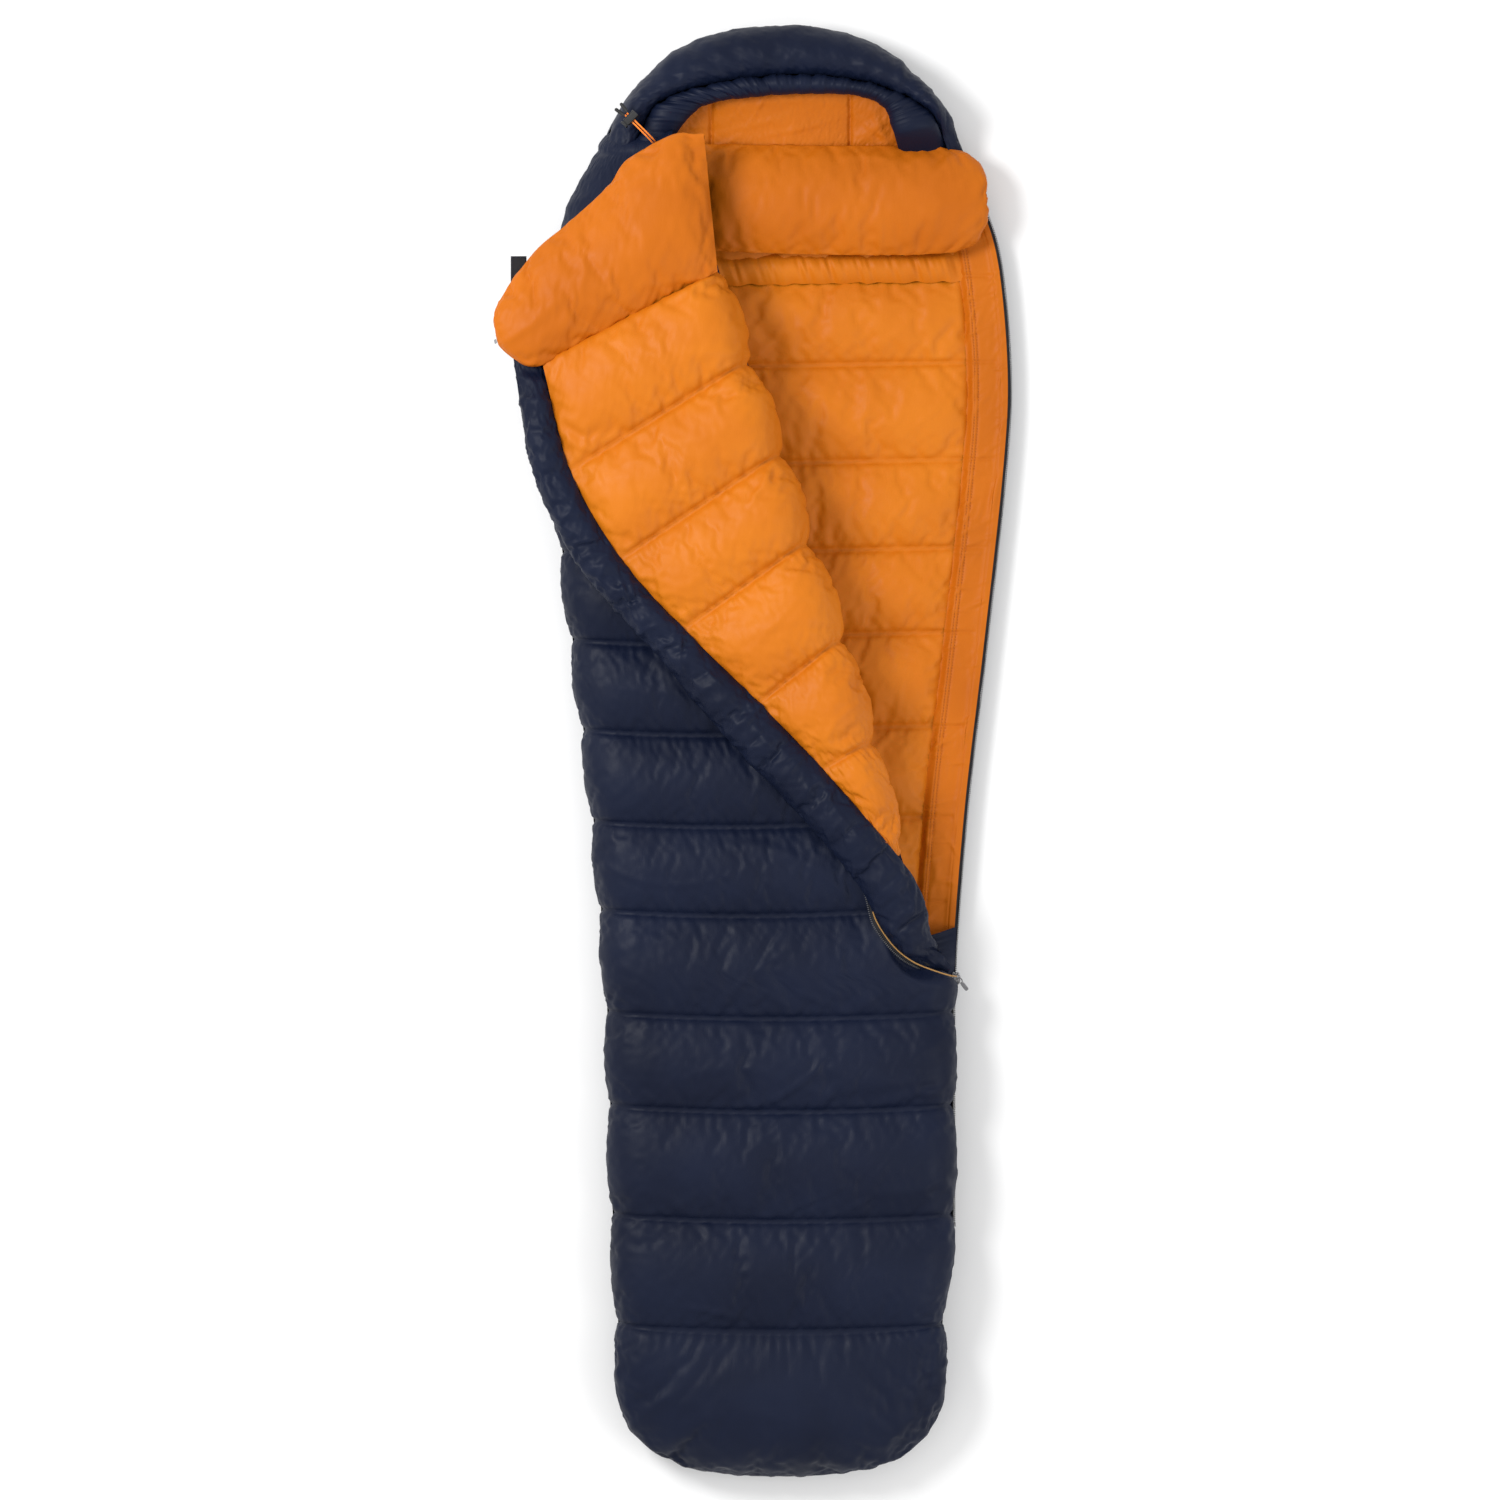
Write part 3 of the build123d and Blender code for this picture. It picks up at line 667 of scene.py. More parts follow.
def back_lining():
    """The quilted lining that one lies on, beside and a little under the fold."""
    ys, sewn = spread(BACK_SEAMS, STEP)
    columns = 52
    right = facing_x(ys)
    left = np.maximum(np.minimum(fold_x(ys) - 0.14, right - 0.37), -half_width(ys) + 0.05)
    level = np.full(len(ys), 0.019)
    grid = between(np.column_stack([left, ys, level]), np.column_stack([right, ys + 0.008, level]),
                   np.linspace(0, 1, columns))
    grid[..., 2] += chamber_swell(len(grid), sewn)[:, None] * dome(columns, 0.3)[None] * 0.015

    def finish(g, seams):
        g = pucker(g, seams, 0.0015, 24, 5, 500)
        g = groove(creases(g, seams, 44, 0.0012, 510, 58, 0.25, 0.0050, 0.050), seams, 0.0035)
        return limit(g, -1, 0.046)

    fill_with_down("back_lining_quilt", grid, sewn, "orange_nylon", finish, 2.5, 0.026, 0.012)


def zip_facing():
    """Doubled strip between the lining and the zip's tape, with its stitched lines and wrinkles."""
    ys = np.arange(-0.300, 0.880, 0.004)
    width = np.array([0.0, 0.003, 0.007, 0.010, 0.012, 0.0145, 0.017, 0.020, 0.026, 0.032, 0.038,
                      0.044, 0.048, 0.050, 0.052, 0.056, 0.0602])
    height = 0.021 + 0.0105 * ease(width, 0, 0.012) + 0.0028 * ease(width, 0.044, 0.052)
    stitch_lines = (0.012, 0.017, 0.050)
    for stitched in stitch_lines:
        height = height - 0.0011 * np.exp(-((width - stitched) / 0.0012) ** 2)
    inner = facing_x(ys) - 0.004
    grid = refine(np.dstack(np.broadcast_arrays(inner[:, None] + width[None], ys[:, None], height[None])))
    grid = creases(grid, [], 110, 0.0016, 41, 60, 0.5, 0.0045, 0.022)
    grid = creases(grid, [], 60, 0.0012, 42, 5, 0.3, 0.0035, 0.020)
    for seam in BACK_SEAMS[1:-1]:
        dip = 0.0020 * (1 - ease(grid[..., 0] - facing_x(grid[..., 1]), 0.036, 0.044))
        grid[..., 2] -= dip * np.exp(-((grid[..., 1] - seam - 0.008) / 0.0025) ** 2)
    # The strip takes the darker copy of the orange nylon, whose shade is painted in
    piece = grid_piece("zip_facing_strip", limit(grid, 0.019, 0.0362), "orange_nylon_deep")
    attach(piece, "sleeping_bag", ["zip_facing"])
    for number, inset in enumerate(stitch_lines):
        line = np.column_stack([inner + inset, ys, np.full(len(ys), 0.0318)])
        stitches(f"zip_facing_stitches_{number + 1}", line, "orange_thread", "sleeping_bag")


def inner_lining():
    """The lining of the bag's inside: ceiling, left wall and floor, down into the foot."""
    ys, _ = spread([-1.0] + SHELL_SEAMS + [NECK_Y - 0.01], 0.02)
    rows = []
    for y in ys:
        w = float(half_width(y))
        open_part = float(ease(y, -0.40, -0.31))
        right = (w - 0.035) * (1 - open_part) + (fold_x(y) - 0.045) * open_part
        right = max(right, -w + 0.12)
        corner = arc(-w + 0.062, 0.058, 0.0255, 90, 270, 14)
        floor_end = max(fold_x(y) - 0.10, -w + 0.10) if y > -0.33 else right
        line = np.vstack([[(right, 0.034 + 0.047 * open_part), (right - 0.004, 0.0835)], corner,
                          [(floor_end, 0.0165)]])
        section = even(line, 60)
        rows.append(np.column_stack([section[:, 0], np.full(60, y), section[:, 1]]))
    piece = grid_piece("inner_lining", np.array(rows), "orange_nylon")
    attach(piece, "sleeping_bag", ["front_lining", "left_side_lining", "hood_side_lining"])


def slider_wedge():
    """The navy gusset between the flap's end, the facing and the slider, in a few soft folds."""
    left = smooth_line([(0.196, -0.276, 0.060), (0.222, -0.304, 0.066), (0.243, -0.345, 0.066)], 40)
    right = smooth_line([(0.2592, -0.256, 0.0380), (0.2568, -0.300, 0.0460), (0.2535, -0.346, 0.0545)], 40)
    share = np.linspace(0, 1, 16)
    grid = between(left, right, share)
    folds = ripple(40, 3.5, 51)[:, None] * 0.0022 + ripple(40, 9, 52)[:, None] * 0.0007
    grid[..., 2] += (folds + 0.006) * np.sin(math.pi * share)[None]
    attach(grid_piece("slider_gusset", grid, "navy_nylon"), "sleeping_bag")


# ---- the flap
def flap_rail(part, at):
    return rail([row[part] for row in FLAP_ROWS], at)


def height_rail(heights, at):
    return rail([(z, 0) for z in heights], at)[:, 0]


def flap_rows(first, last, step=STEP):
    """Rows of the flap between two of its stations, as station values, and the sewn ones."""
    values, sewn = [], []
    for k in range(first, last):
        length = np.linalg.norm(np.subtract(FLAP_ROWS[k + 1][2], FLAP_ROWS[k][2]))
        count = max(3, round(length / step))
        sewn.append(len(values))
        values.extend(k + np.arange(count) / count)
    return np.array(values + [last]), sewn + [len(values)]


def flap_lining():
    """The flap's lining, from the border beside the zip's strip over the fold and in under it."""
    last = len(FLAP_ROWS) - 1
    at, sewn = flap_rows(FLAP_TIP_ROW, last)
    columns = 62
    rows = []
    for b, f, t in zip(flap_rail(1, at), flap_rail(2, at), at):
        along = f - b
        length = np.linalg.norm(along)
        direction = along / length
        radius = FOLD_ROLL * (0.55 + 0.45 * float(ease(t, FLAP_TIP_ROW, FLAP_TIP_ROW + 1.2)))
        turn = arc(length - radius, FOLD_Z, radius, 90, -90, 30)
        tail = [(length - radius - 0.05, min(FOLD_Z - radius, 0.084))]
        border = [(min(0.0, length - radius), FLAP_SEAM_Z)]
        if length - radius > 0.04:
            knee_z = FLAP_SEAM_Z + 0.4 * (FOLD_Z + radius - FLAP_SEAM_Z)
            border = [(0.0, FLAP_SEAM_Z), (min(0.035, length * 0.3), knee_z)]
        section = even(np.vstack([border, turn, tail]), columns)
        rows.append(np.column_stack([b + section[:, :1] * direction, section[:, 1]]))
    swell = chamber_swell(len(at), sewn)[:, None] * dome(columns, 0.4)[None]
    grid = lifted(np.array(rows), swell * 0.018 - 0.002)

    def finish(g, seams):
        g = pucker(g, seams, 0.0018, 22, 5, 700)
        g = groove(creases(g, seams, 40, 0.0014, 710, 22, 0.4, 0.007, 0.060), seams[1:], 0.0040, 0.142)
        g[..., 0] += 0.006 * np.exp(-((g[..., 2] - FOLD_Z) / 0.016) ** 2)
        return limit(g, 0.0765, 0.184)

    fill_with_down("flap_lining_quilt", grid, sewn, "orange_nylon", finish, 3.0, 0.032, 0.014)


def flap_strip():
    """The navy draft tube between the flap's lining and its zip edge, wrinkled across."""
    at, _ = flap_rows(0, len(FLAP_ROWS) - 1, 0.006)
    edge, border = flap_rail(0, at), flap_rail(1, at)
    edge_z, border_z = height_rail(EDGE_Z, at), height_rail(BORDER_Z, at)
    angle = np.linspace(0, math.pi, 20)
    share = (1 - np.cos(angle)) / 2
    under_collar = ease(at, 8.55, 9.0)
    height = (0.020 * ease(at, 0.0, 1.6) + 0.004) * (1 - 0.8 * under_collar)
    border_z = border_z - 0.014 * under_collar
    z = border_z[:, None] + (edge_z - border_z)[:, None] * share[None]
    z = z + height[:, None] * np.sin(angle)[None]
    grid = np.dstack([between(border, edge, share), z])
    waves = ripple(len(at), 46, 61)[:, None] * 0.0010 + ripple(len(at), 19, 62)[:, None] * 0.0022
    grid = lifted(grid, -waves * np.sin(angle)[None] * ease(at, 0.0, 0.8)[:, None])

    def finish(g, seams):
        g = creases(g, [], 70, 0.0022, 610, 100, 0.9, 0.006, 0.030)
        return limit(g, 0.0, 0.186)

    fill_with_down("draft_tube_strip", grid[::-1], [], "navy_nylon", finish, 2.0, 0.03, 0.008)


def flap_underside():
    """The flap's outer fabric, under it while it is folded back."""
    at, sewn = flap_rows(0, len(FLAP_ROWS) - 1)
    edge, edge_z = flap_rail(0, at), height_rail(EDGE_Z, at)
    fold_ys = [FOLD_START[1]] + [row[2][1] for row in FLAP_ROWS[1:]]
    fold_y = np.interp(at, range(len(FLAP_ROWS)), fold_ys)
    share = np.linspace(0, 1, 44)
    fold = np.column_stack([fold_x(fold_y) - 0.020, fold_y])
    plan = between(edge, fold, share)
    swell = chamber_swell(len(at), sewn)[:, None]
    across = 1 - (2 * share[None] - 1) ** 8
    under = 0.131 - 0.0095 * swell * across
    z = under + (edge_z[:, None] - under) * (1 - share[None]) ** 14
    z = z + (FLAP_UNDER_Z - z) * share[None] ** 14
    low = ease(at, 0.2, 2.2)[:, None]
    z = np.maximum(z, FLAP_UNDER_Z) * low + np.minimum(z, edge_z[:, None] + 0.02 * share[None]) * (1 - low)
    grid = np.dstack([plan, z])
    grid = pucker(refine(grid), [2 * k for k in sewn], 0.0008, 24, 4, 800)
    twice = np.interp(np.arange(2 * len(at) - 1) / 2, np.arange(len(at)), at)
    grid = limit(grid, 0.1206 * ease(twice, 0.6, 2.0)[:, None], 1)
    piece = grid_piece("flap_outer_shell", grid[:, ::-1], "navy_nylon")
    attach(piece, EDGE_BLEND, ["flap_shell", "flap_down", "flap_baffle_walls"])


def fold_band():
    """The outer fabric's turn at the fold, from the front to the flap's underside."""
    ys = np.linspace(-0.225, 0.884, 190)
    turn = [(-0.032, 0.1180), (-0.022, 0.1187), (-0.012, 0.1192), (-0.006, 0.1195), (0.002, 0.1199),
            (-0.002, 0.1203), (-0.013, 0.1207), (-0.023, 0.1209), (-0.034, 0.1214)]
    along = (FOLD_END - FOLD_START) / np.linalg.norm(FOLD_END - FOLD_START)
    across = np.array([along[1], -along[0]])
    grid = np.array([np.column_stack([fold_x(ys) + off * across[0], ys + off * across[1],
                                      np.full(len(ys), z)]) for off, z in turn])
    grid[..., 2] += 0.0002 * ripple(len(ys), 40, 66)[None] * np.abs(np.linspace(-1, 1, len(turn)))[:, None]
    attach(grid_piece("fold_band", grid, "navy_nylon"), ((0, 0, 0.1196), (0, 0, 0.1204)))


def flap_neck_shell():
    """The outer fabric under the flap's collar pillow."""
    low, high = smooth_line(COLLAR_LOW, 60), smooth_line(COLLAR_HIGH, 60)
    share = np.linspace(0.02, 0.97, 24)
    plan = low[None] + (high - low)[None] * share[:, None, None]
    z = 0.1213 + 0.0007 * np.array([ripple(60, 9 + 3 * (k % 2), 670 + k // 6) for k in range(24)])
    attach(grid_piece("flap_neck_shell", np.dstack([plan, z])[::-1], "navy_nylon"), "flap")


# ---- collars
def pillow(name, low_edge, high_edge, middle, finish):
    """A closed pillow between two edges in plan, wrapped from its top round to its underside."""
    columns = len(low_edge)
    count = max(8, round(np.linalg.norm(high_edge - low_edge, axis=1).mean() / STEP))
    share = (1 - np.cos(np.linspace(0, math.pi, count + 1))) / 2
    ends = (1 - np.abs(np.linspace(-1, 1, columns)) ** 6) ** 0.5

    def sheet(sign, shares):
        plan = low_edge[None] + (high_edge - low_edge)[None] * shares[:, None, None]
        dome = (1 - np.abs(2 * shares - 1) ** 2.6)[:, None] ** 0.6 * ends[None]
        return np.dstack([plan, middle + sign * COLLAR_THICKNESS / 2 * dome])

    grid = np.concatenate([sheet(1, share), sheet(-1, share[::-1])[1:-1]])
    # The pillows take the darker copy of the orange nylon, whose shade is painted in
    fill_with_down(name, grid, [0, count], "orange_nylon_deep", finish, 3.0, 0.030, 0.016, around=True)


def collars():
    """The back's pillow, and the one across the flap's neck end."""
    back_low = [(-0.120, 0.737), (0.05, 0.731), (0.20, 0.731), (0.272, 0.740), (0.298, 0.768),
                (0.303, 0.812)]
    back_high = [(-0.120, 0.893), (0.05, 0.891), (0.20, 0.890), (0.268, 0.881), (0.296, 0.856),
                 (0.303, 0.814)]
    for name, low, high, middle, crease, heights in (
            ("back_collar_pillow", back_low, back_high, 0.058,
             (730, 55, 0.5, 0.007, 0.055), (0.034, 0.090)),
            ("front_collar_pillow", COLLAR_LOW, COLLAR_HIGH, 0.149,
             (720, 40, 0.45, 0.007, 0.070), (0.1225, 0.186))):
        def finish(g, seams, crease=crease, heights=heights):
            return limit(creases(g, [], 30, 0.0018, *crease), *heights)

        pillow(name, smooth_line(low, 60), smooth_line(high, 60), middle, finish)


def collar_band():
    """The gathered channel under the back collar, with slanted pleats."""
    columns, count = 220, 14
    x = np.linspace(-0.105, 0.270, columns)
    share = np.linspace(0, 1, count)
    y = 0.688 + 0.050 * share[:, None] + 0.006 * (x[None] + 0.1) / 0.38
    y = y + 0.0016 * ripple(columns, 9, 73)[None]
    slant = x[None] + 0.016 * (share[:, None] - 0.5)
    pleat = np.interp(slant, x, ripple(columns, 21, 71) * (0.6 + 0.4 * ripple(columns, 5, 72))) * 0.0024
    flat = 1 - ease(x, 0.235, 0.268)[None]
    round_it = np.sin(math.pi * (0.06 + 0.94 * share))[:, None] ** 0.8
    z = 0.0215 + (0.017 * round_it + pleat * round_it) * (0.25 + 0.75 * flat)
    grid = refine(np.dstack([np.broadcast_to(x, y.shape), y, z]))
    attach(grid_piece("collar_band_gathers", grid, "orange_nylon"), "sleeping_bag",
           ["collar_gather_band"])


# ---- the hood
def hood_rail(part, at):
    return rail([row[part] for row in HOOD_ROWS], at)


def hood_tube():
    """The hood's padded horseshoe, from its side's seam over the top to the brim's seam."""
    at = np.linspace(0, len(HOOD_ROWS) - 1.18, 120)
    angle = np.linspace(0, math.pi, 20)
    plan = between(hood_rail(0, at), hood_rail(1, at), (1 - np.cos(angle)) / 2)
    ends = np.minimum(0.62 + 0.38 * ease(at, 0.0, 1.2), ease(at[-1] - at, -0.05, 1.1))[:, None]
    rise = 0.030 * np.sin(angle)[None] * ends
    z = EQUATOR_Z + (0.046 * ends + 0.012 * (1 - ends)) * np.sin(angle / 2)[None] + rise
    grid = np.dstack([plan, z])
    grid = lifted(grid, ripple(len(at), 13, 81)[:, None] * np.sin(angle)[None] * 0.0012)

    def finish(g, seams):
        g = pucker(g.transpose(1, 0, 2), [len(g[0]) - 1], 0.0012, 40, 5, 900).transpose(1, 0, 2)
        g = creases(g, [], 40, 0.0016, 910, 90, 0.7, 0.010, 0.040)
        return limit(g, 0.03, 0.133)

    fill_with_down("hood_padded_tube", grid, [], "navy_nylon", finish, 3.0, 0.014, 0.010)


def hood_brim():
    """The gathered tube round the face opening, with the drawcord inside."""
    at = np.linspace(0, len(HOOD_ROWS) - 1, 420)
    seam, inner = hood_rail(1, at), hood_rail(2, at)
    across = inner - seam
    width = np.linalg.norm(across, axis=1, keepdims=True)
    direction = across / width
    columns = 22
    angle = np.radians(np.linspace(175, -75, columns))
    centre = seam + across * 0.52
    plan = centre[:, None] - direction[:, None] * (width[:, None] * 0.5) * np.cos(angle)[None, :, None]
    sink = 0.050 * ease(at, 9.15, 9.85) + 0.012 * (1 - ease(at, 0, 0.8))
    z = 0.089 + 0.020 * np.sin(angle)[None] - sink[:, None]
    grid = np.dstack([plan, z])
    gathers = ripple(len(at), 47, 91) * 0.0008 + ripple(len(at), 15, 92) * 0.0018
    gathers = gathers * (1 - ease(at, 8.9, 9.5))
    free = np.sin(np.linspace(0.12, math.pi, columns)) ** 0.5
    piece = grid_piece("hood_brim_gathers", lifted(grid, gathers[:, None] * free[None]), "navy_nylon")
    attach(piece, "sleeping_bag", ["hood_brim", "hood_drawcord"])


def hood_lining():
    """The hood's lining: a shallow bowl in three gores, from under the collar to the brim."""
    at = np.linspace(0, len(HOOD_ROWS) - 1, 130)
    inner, seam = hood_rail(2, at), hood_rail(1, at)
    top = inner + (seam - inner) * 0.45
    low = np.column_stack([np.linspace(-0.150, 0.168, len(at)), np.full(len(at), 0.850)])
    share = np.linspace(0, 1, 26)
    plan = between(low, top, share)
    gore = np.abs(np.sin(math.pi * (plan[..., 0] + HOOD_SEAM_X) / (2 * HOOD_SEAM_X))) ** 0.6
    sunk = 0.034 * ease(at, 8.7, 9.4)[:, None]
    z = 0.040 + (0.036 - sunk) * share[None] ** 3 + 0.008 * gore * np.sin(math.pi * share)[None] ** 0.5
    grid = np.dstack([plan, z])

    def finish(g, seams):
        g = creases(g, [], 16, 0.0022, 740, 60, 0.7, 0.008, 0.045)
        for seam in (-HOOD_SEAM_X, HOOD_SEAM_X):
            g[..., 2] -= 0.0045 * np.exp(-((g[..., 0] - seam) / 0.0028) ** 2)
        return limit(g, 0.034, 0.080)

    # The lining takes the darker copy of the orange nylon, whose shade is painted in
    fill_with_down("hood_lining_quilt", grid[::-1], [], "orange_nylon_deep", finish, 1.0, 0.004, 0.006)


# ---- zips, stitches, cords
def directions(line):
    ahead = np.gradient(line, axis=0)
    return ahead / np.linalg.norm(ahead, axis=1, keepdims=True)


def beads(name, line, pitch, outwards, rings, outline, material, upright=False):
    """One small lofted shape after another on a line; rings are (shift, scale) of the outline."""
    total = np.linalg.norm(np.diff(line, axis=0), axis=1).sum()
    points = even(line, max(4, int(total / pitch)))
    ahead = directions(points)
    out = outwards(ahead)
    up = np.tile((0, 0, 1.0), (len(points), 1)) if upright else np.cross(out, ahead)
    verts = [p + a * shift + (o * x + u * z) * scale
             for p, a, o, u in zip(points, ahead, out, up) for shift, scale in rings for x, z in outline]
    n = len(outline)
    size = n * len(rings)
    sides = [[n * k + j, n * k + (j + 1) % n, n * (k + 1) + (j + 1) % n, n * (k + 1) + j]
             for k in range(len(rings) - 1) for j in range(n)]
    one = np.array(sides), np.array([range(n - 1, -1, -1), range(size - n, size)])
    faces = [face for start in range(0, len(verts), size) for part in one for face in (part + start).tolist()]
    return mesh_piece(name, verts, faces, material)


def sideways(ahead):
    return np.cross(ahead, (0, 0, 1.0))


def stitches(name, line, material, body):
    """A sewn line: one small rounded dash for each stitch."""
    rings = [(-0.0015, 0.000105), (-0.0009, 0.00035), (0.0009, 0.00035), (0.0015, 0.000105)]
    outline = [(-1, 0), (0, 1), (1, 0), (0, -1)]
    attach(beads(name, line, 0.0042, sideways, rings, outline, material, upright=True), body)


def teeth(name, line, outwards=sideways):
    """A zip's coil: one bent loop after another, wider than the gap between them."""
    outline = [(-1.5, -0.9), (0.9, -0.9), (1.9, -0.45), (1.9, 0.45), (0.9, 0.9), (-1.5, 0.9)]
    rings = [(-0.0009, 0.00075), (-0.00045, 0.001), (0.00045, 0.001), (0.0009, 0.00075)]
    return beads(name, line, 0.0030, outwards, rings, outline, "coil_plastic")


def ribbon(name, inner, outer, thick, material):
    """A flat tape between two lines, with both faces and rounded edges."""
    up = np.array([0, 0, thick / 2])
    middle = (inner + outer) / 2
    loop = [inner, inner * 0.9 + outer * 0.1 + up, middle + up, outer * 0.9 + inner * 0.1 + up,
            outer, outer * 0.9 + inner * 0.1 - up, middle - up, inner * 0.9 + outer * 0.1 - up]
    return grid_piece(name, np.array(loop), material, around=True)


def zip_half(name, body, inner, outer, coil_line, outwards=sideways):
    """One half of the zip: its tape between two lines, and its coil."""
    attach(ribbon(f"{name}_tape_cloth", inner, outer, 0.0010, "black_tape"), body, [f"{name}_tape"])
    attach(teeth(f"{name}_teeth", coil_line, outwards), body, [f"{name}_coil"])


def bag_zip():
    """The bag's half of the open zip, along the back's right edge."""
    low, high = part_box("bag_zip_coil")
    z = (low.z + high.z) / 2
    ys = np.arange(SLIDER_Y + 0.006, 0.884, 0.006)
    w = half_width(ys)

    def line(inset, height=0.0):
        return np.column_stack([w - inset, ys, z + height + 0.017 * (1 - ease(ys, -0.326, -0.285))])

    zip_half("bag_zip", "sleeping_bag", line(0.0115), line(0.0025), line(0.0012, 0.0008))
    stitches("bag_zip_stitches", line(0.0085, 0.0007), "navy_thread", "sleeping_bag")


def closed_zip():
    """The zip below the slider, both halves joined."""
    ys = np.arange(-0.690, SLIDER_Y - 0.006, 0.004)

    def line(x, height):
        return np.column_stack([np.full(len(ys), ZIP_X + x), ys, np.full(len(ys), ZIP_Z + height)])

    for name, lift in (("closed_zip_upper", 0.0045), ("closed_zip_lower", -0.0045)):
        inwards = (0, 0, -math.copysign(1.0, lift))
        zip_half(name, "sleeping_bag", line(-0.0022, 2.4 * lift), line(-0.0002, 0.2 * lift),
                 line(0.0010, 0.32 * lift), lambda ahead: np.tile(inwards, (len(ahead), 1)))


def flap_zip():
    """The flap's half of the zip with its golden piping, outside the draft tube."""
    at = np.linspace(0.0, len(FLAP_ROWS) - 1.02, 260)
    edge, border = flap_rail(0, at), flap_rail(1, at)
    z = height_rail(EDGE_Z, at)
    out = edge - border
    out /= np.linalg.norm(out, axis=1, keepdims=True)
    tucked = ease(at, 1.9, 3.4)

    def line(shift, height):
        inwards = shift - 0.016 * tucked
        return np.column_stack([edge + out * inwards[:, None], z + height - 0.010 * tucked])

    zip_half("flap_zip", EDGE_BLEND, line(-0.004, -0.001), line(0.0065, -0.003), line(0.0085, -0.0035))
    over = line(0.0022, 0.0050)
    over[:, 2] += 0.021 * (1 - ease(at, 0.3, 1.4))
    into_slider = [(0.2580, -0.3284, 0.0600), (0.2570, -0.3276, 0.0780), (0.2530, -0.3266, 0.0930),
                   (0.2460, -0.3252, 0.1010)]
    piping = round_cord("golden_piping_cord", smooth_line(into_slider + over[8::14].tolist(), 300), 0.0010,
                        "golden_piping")
    attach(piping, EDGE_BLEND, ["flap_zip_piping"])


def round_cord(name, line, radius, material, sides=8):
    """A tube along a line."""
    ahead = directions(line)
    side = sideways(ahead)
    side /= np.maximum(np.linalg.norm(side, axis=1, keepdims=True), 1e-9)
    up = np.cross(side, ahead)
    angles = np.linspace(0, 2 * math.pi, sides, endpoint=False)
    grid = np.array([line + radius * (side * math.cos(a) + up * math.sin(a)) for a in angles])
    return grid_piece(name, grid, material, around=True)


def plate(name, outline, thick, origin, along, across, body, nodes=()):
    """A flat metal plate with rounded rims, its outline given in its own plane."""
    up = np.cross(along, across)
    centre = outline.mean(axis=0)
    levels = ((0.78, 1.0), (0.92, 0.86), (1.0, 0.45), (1.0, -0.45), (0.92, -0.86), (0.78, -1.0))
    points = [origin + u * along + v * across + up * height * thick / 2
              for scale, height in levels for u, v in centre + (outline - centre) * scale]
    n = len(outline)
    faces = [[k * n + j, (k + 1) * n + j, (k + 1) * n + (j + 1) % n, k * n + (j + 1) % n]
             for k in range(len(levels) - 1) for j in range(n)]
    faces += [list(range(n)), [(len(levels) - 1) * n + j for j in range(n - 1, -1, -1)]]
    attach(mesh_piece(name, points, faces, "zip_metal"), body, nodes)


def rounded(half_length, low_width, high_width, count=28):
    """A rounded oblong that may be wider at one end."""
    a = np.linspace(0, 2 * math.pi, count, endpoint=False)
    c, d = np.cos(a), np.sin(a)
    width = (low_width + high_width) / 2 + (high_width - low_width) / 2 * c
    return np.column_stack([half_length * np.sign(c) * np.abs(c) ** 0.6,
                            width * np.sign(d) * np.abs(d) ** 0.6])


def slider():
    """The zip's slider, turned a little upwards, with its bridge, loop and pull tab."""
    tilt = math.radians(32)
    centre = np.array([0.2592, SLIDER_Y, ZIP_Z])
    along, across = np.array([0, 1.0, 0]), np.array([-math.sin(tilt), 0, math.cos(tilt)])
    out = np.cross(along, across)
    plate("zip_slider_plate", rounded(0.010, 0.0044, 0.0062), 0.0016, centre, along, across,
          "zip_slider", ["zip_slider"])
    plate("zip_slider_back_plate", rounded(0.0098, 0.0042, 0.0060), 0.0012, centre - out * 0.0052,
          along, across, "zip_slider")
    s = np.linspace(-0.0075, 0.0075, 21)
    bridge = centre + s[:, None] * along + (0.0042 * (1 - (s / 0.0075) ** 4))[:, None] * out
    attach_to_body(round_cord("zip_slider_bridge", bridge, 0.0011, "zip_metal", 10), "zip_slider")

    heading = math.radians(-52)
    ahead = np.array([math.cos(heading), math.sin(heading), 0])
    roll = math.radians(58)
    level = np.array([math.sin(heading), -math.cos(heading), 0])
    side = math.cos(roll) * np.array([0, 0, 1.0]) + math.sin(roll) * level
    eye = centre + out * 0.0022
    a = np.linspace(0, 2 * math.pi, 33)
    loop = (eye + (0.0034 + 0.0042 * np.cos(a))[:, None] * ahead + (0.0036 * np.sin(a))[:, None] * side)
    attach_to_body(round_cord("zip_pull_loop", loop, 0.0008, "zip_metal", 8), "zip_pull")
    plate("zip_pull_tab", rounded(0.0076, 0.0029, 0.0036), 0.0014, eye + ahead * 0.0140, ahead, side,
          "zip_pull", ["zip_pull"])


def make_cords():
    """The drawcord's two strands, from the brim to the lock."""
    for name, points in CORDS.items():
        data = bpy.data.curves.new(name, "CURVE")
        data.dimensions = "3D"
        data.bevel_depth = CORD_DIAMETER / 2
        data.bevel_resolution = 4
        data.resolution_u = 16
        spline = data.splines.new("NURBS")
        spline.points.add(len(points) - 1)
        for point, place in zip(spline.points, points):
            point.co = (*place, 1)
        spline.order_u = 3
        spline.use_endpoint_u = True
        data.materials.append(MATERIALS["orange_cord"])
        cord = link(name, data)
        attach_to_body(cord, "sleeping_bag")
        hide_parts(name + "_strand")


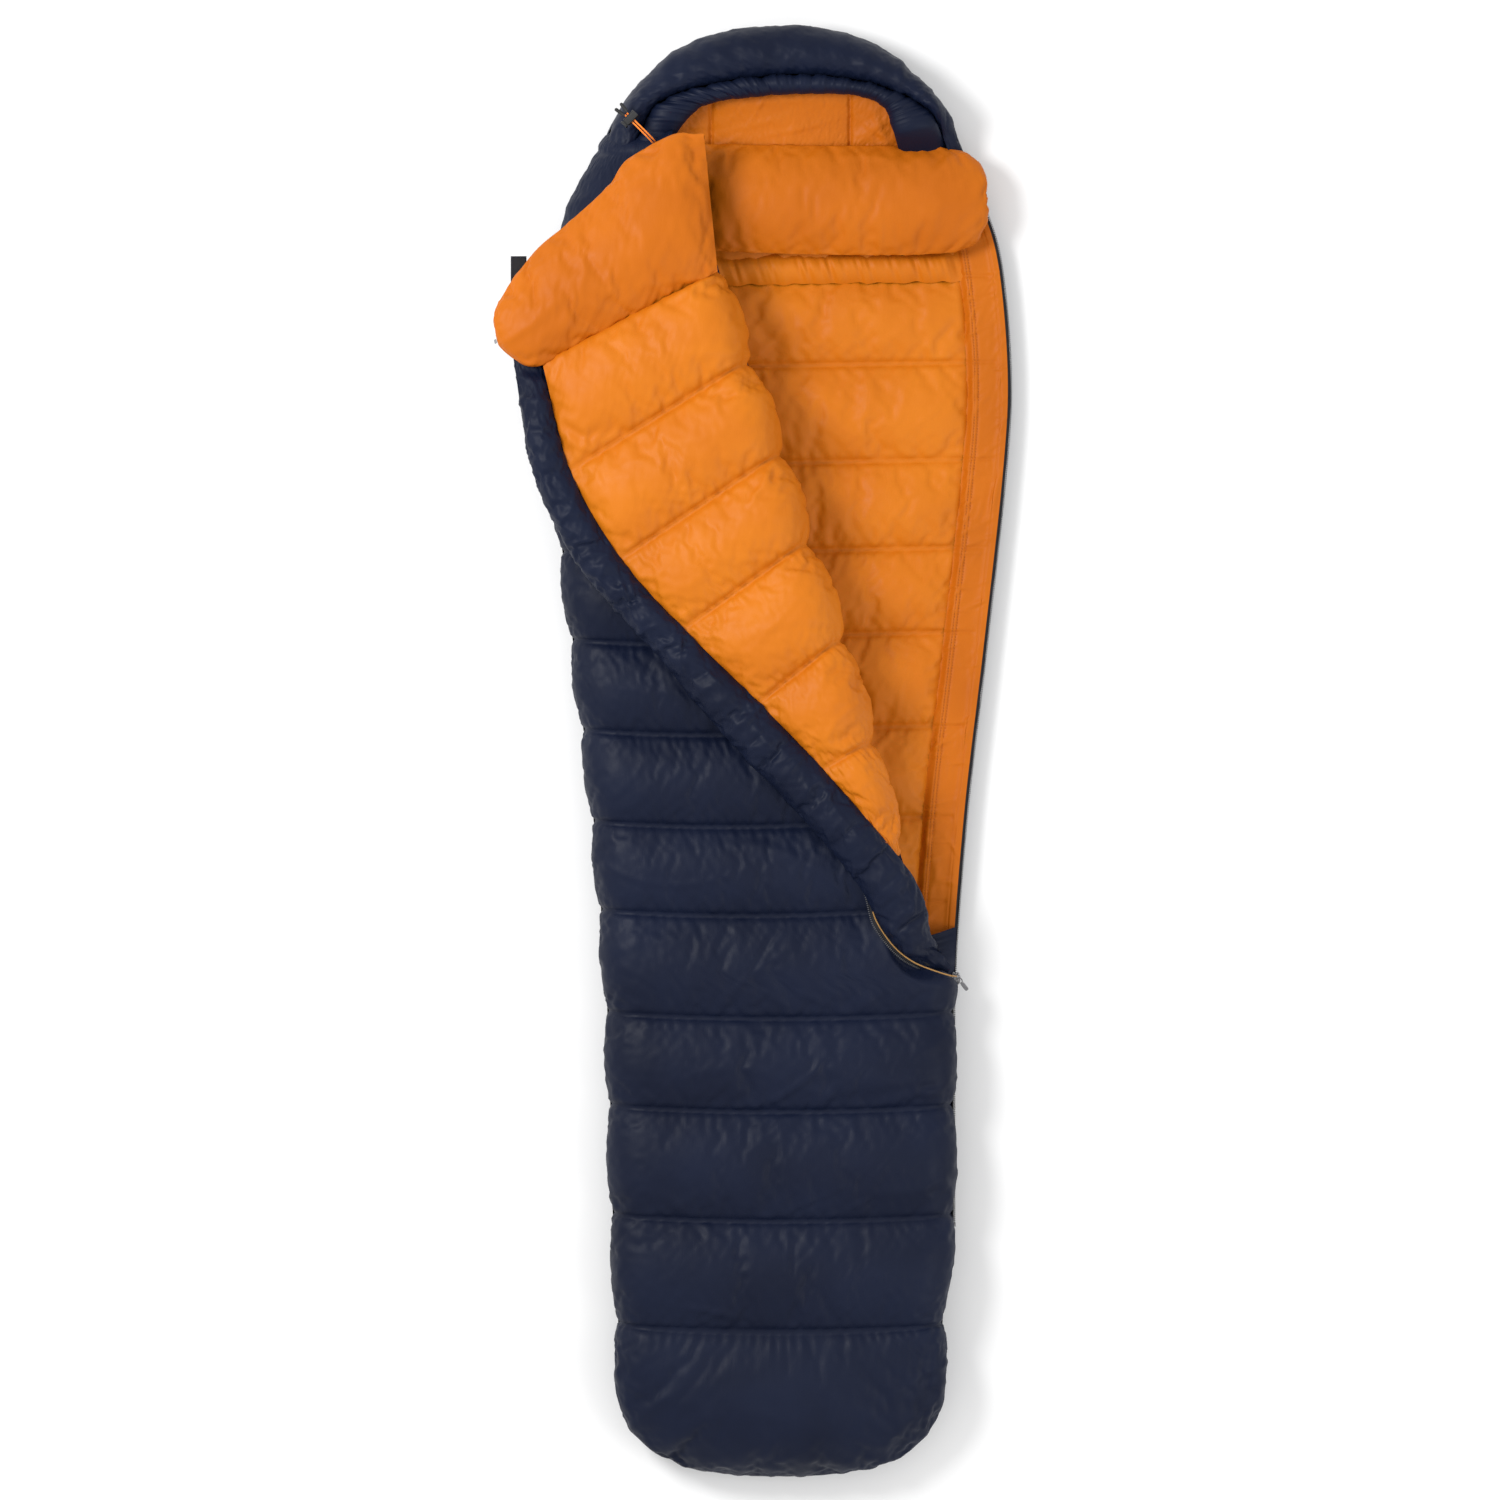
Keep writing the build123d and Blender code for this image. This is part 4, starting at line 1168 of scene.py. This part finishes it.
def closure_tab():
    """The black webbing tab behind the flap's corner, with its hook patch and stitching."""
    for name, node, count, curl in (("closure_tab_webbing", "closure_tab", 40, 0.0010),
                                    ("closure_tab_patch", "closure_tab_hook_patch", 20, 0.0)):
        low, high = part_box(node)
        ys = np.linspace(low.y, high.y, count)
        z = (low.z + high.z) / 2 + curl * np.cos(np.linspace(0, math.pi, count))
        left, right = (np.column_stack([np.full(count, x), ys, z]) for x in (low.x, high.x))
        attach(ribbon(name, left, right, high.z - low.z, "black_tape"), "closure_tab", [node])
    low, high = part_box("closure_tab")
    inset, top = 0.0022, high.z + 0.0012
    xs, ys = (low.x + inset, high.x - inset), (low.y + inset, high.y - inset)
    corners = [(xs[0], ys[0], top), (xs[1], ys[0], top), (xs[1], ys[1], top), (xs[0], ys[1], top)]
    for number in range(4):
        line = np.linspace(corners[number], corners[(number + 1) % 4], 12)
        stitches(f"closure_tab_stitches_{number + 1}", line, "navy_thread", "closure_tab")


# ---- stage
def make_stage():
    mesh = bpy.data.meshes.new("floor")
    mesh.from_pydata([(x, y, -0.0005) for x, y in ((-9, -9), (9, -9), (9, 9), (-9, 9))], [], [(0, 1, 2, 3)])
    n = Nodes("floor_paper")
    n.set(Base_Color=(0.90, 0.90, 0.90, 1), Roughness=0.95, Specular_IOR_Level=0.1)
    mesh.materials.append(n.material)
    link("floor", mesh)
    world = bpy.data.worlds.new("studio")
    world.use_nodes = True
    background = world.node_tree.nodes["Background"].inputs
    background[0].default_value, background[1].default_value = (1, 1, 1, 1), 0.84
    bpy.context.scene.world = world
    bpy.context.scene.view_settings.view_transform = "Standard"
    for name, place, size, power in (("key", (-1.9, 1.1, 2.7), 1.2, 76), ("fill", (2.4, -1.2, 2.8), 2.2, 30)):
        data = bpy.data.lights.new(name, "AREA")
        data.shape = "DISK"
        data.size = size
        data.energy = power
        light = link(name, data)
        light.location = place
        direction = -np.array(place)
        light.rotation_euler = (math.atan2(math.hypot(*direction[:2]), -direction[2]), 0,
                                math.atan2(direction[1], direction[0]) - math.pi / 2)


def settle_fillings():
    """Sets each filled piece on its body, or leaves it where it is, and hides the model's parts it stands
    for.
    """
    fold_blend = ((0, 0, 0.098), (0, 0, 0.142))
    for name, body, nodes in (
            ("bag_front_shell", "sleeping_bag", "front_shell front_down front_baffle_walls "
                                                "left_side_shell left_side_down"),
            ("back_lining_quilt", "sleeping_bag", "back_lining"),
            ("back_collar_pillow", "sleeping_bag", "back_collar_cover back_collar_down"),
            ("hood_padded_tube", "sleeping_bag", "hood_shell hood_down hood_side_shell hood_side_down"),
            ("hood_lining_quilt", "sleeping_bag", "hood_lining"),
            ("front_collar_pillow", "flap", "front_collar_cover front_collar_down"),
            ("flap_lining_quilt", fold_blend, "flap_lining"),
            ("draft_tube_strip", EDGE_BLEND, "draft_tube_cover draft_tube_down")):
        attach(bpy.data.objects[name], body, nodes.split())


def finish_cad_nodes():
    """Small hard parts keep their own shape and get their material."""
    for material, nodes in (("zip_metal", "zip_bottom_stop flap_zip_top_stop bag_zip_top_stop"),
                            ("black_plastic", "cord_lock_barrel cord_lock_button"),
                            ("spring_steel", "cord_lock_spring"),
                            ("black_rubber", "hood_cord_end_tips")):
        for node in nodes.split():
            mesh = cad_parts[node].data
            mesh.materials.clear()
            mesh.materials.append(MATERIALS[material])


MATERIALS = {name: make(name, *rest) for make, name, *rest in MATERIAL_TABLE}
for build in (make_camera, make_cords,
              front_shell, back_lining, flap_lining, flap_strip, collars,
              hood_tube, hood_lining, run_fillings, settle_fillings,
              back_shell, inner_lining, flap_underside, flap_neck_shell, fold_band, zip_facing,
              slider_wedge, collar_band, hood_brim, bag_zip, closed_zip, flap_zip, slider,
              closure_tab, finish_cad_nodes, make_stage):
    build()
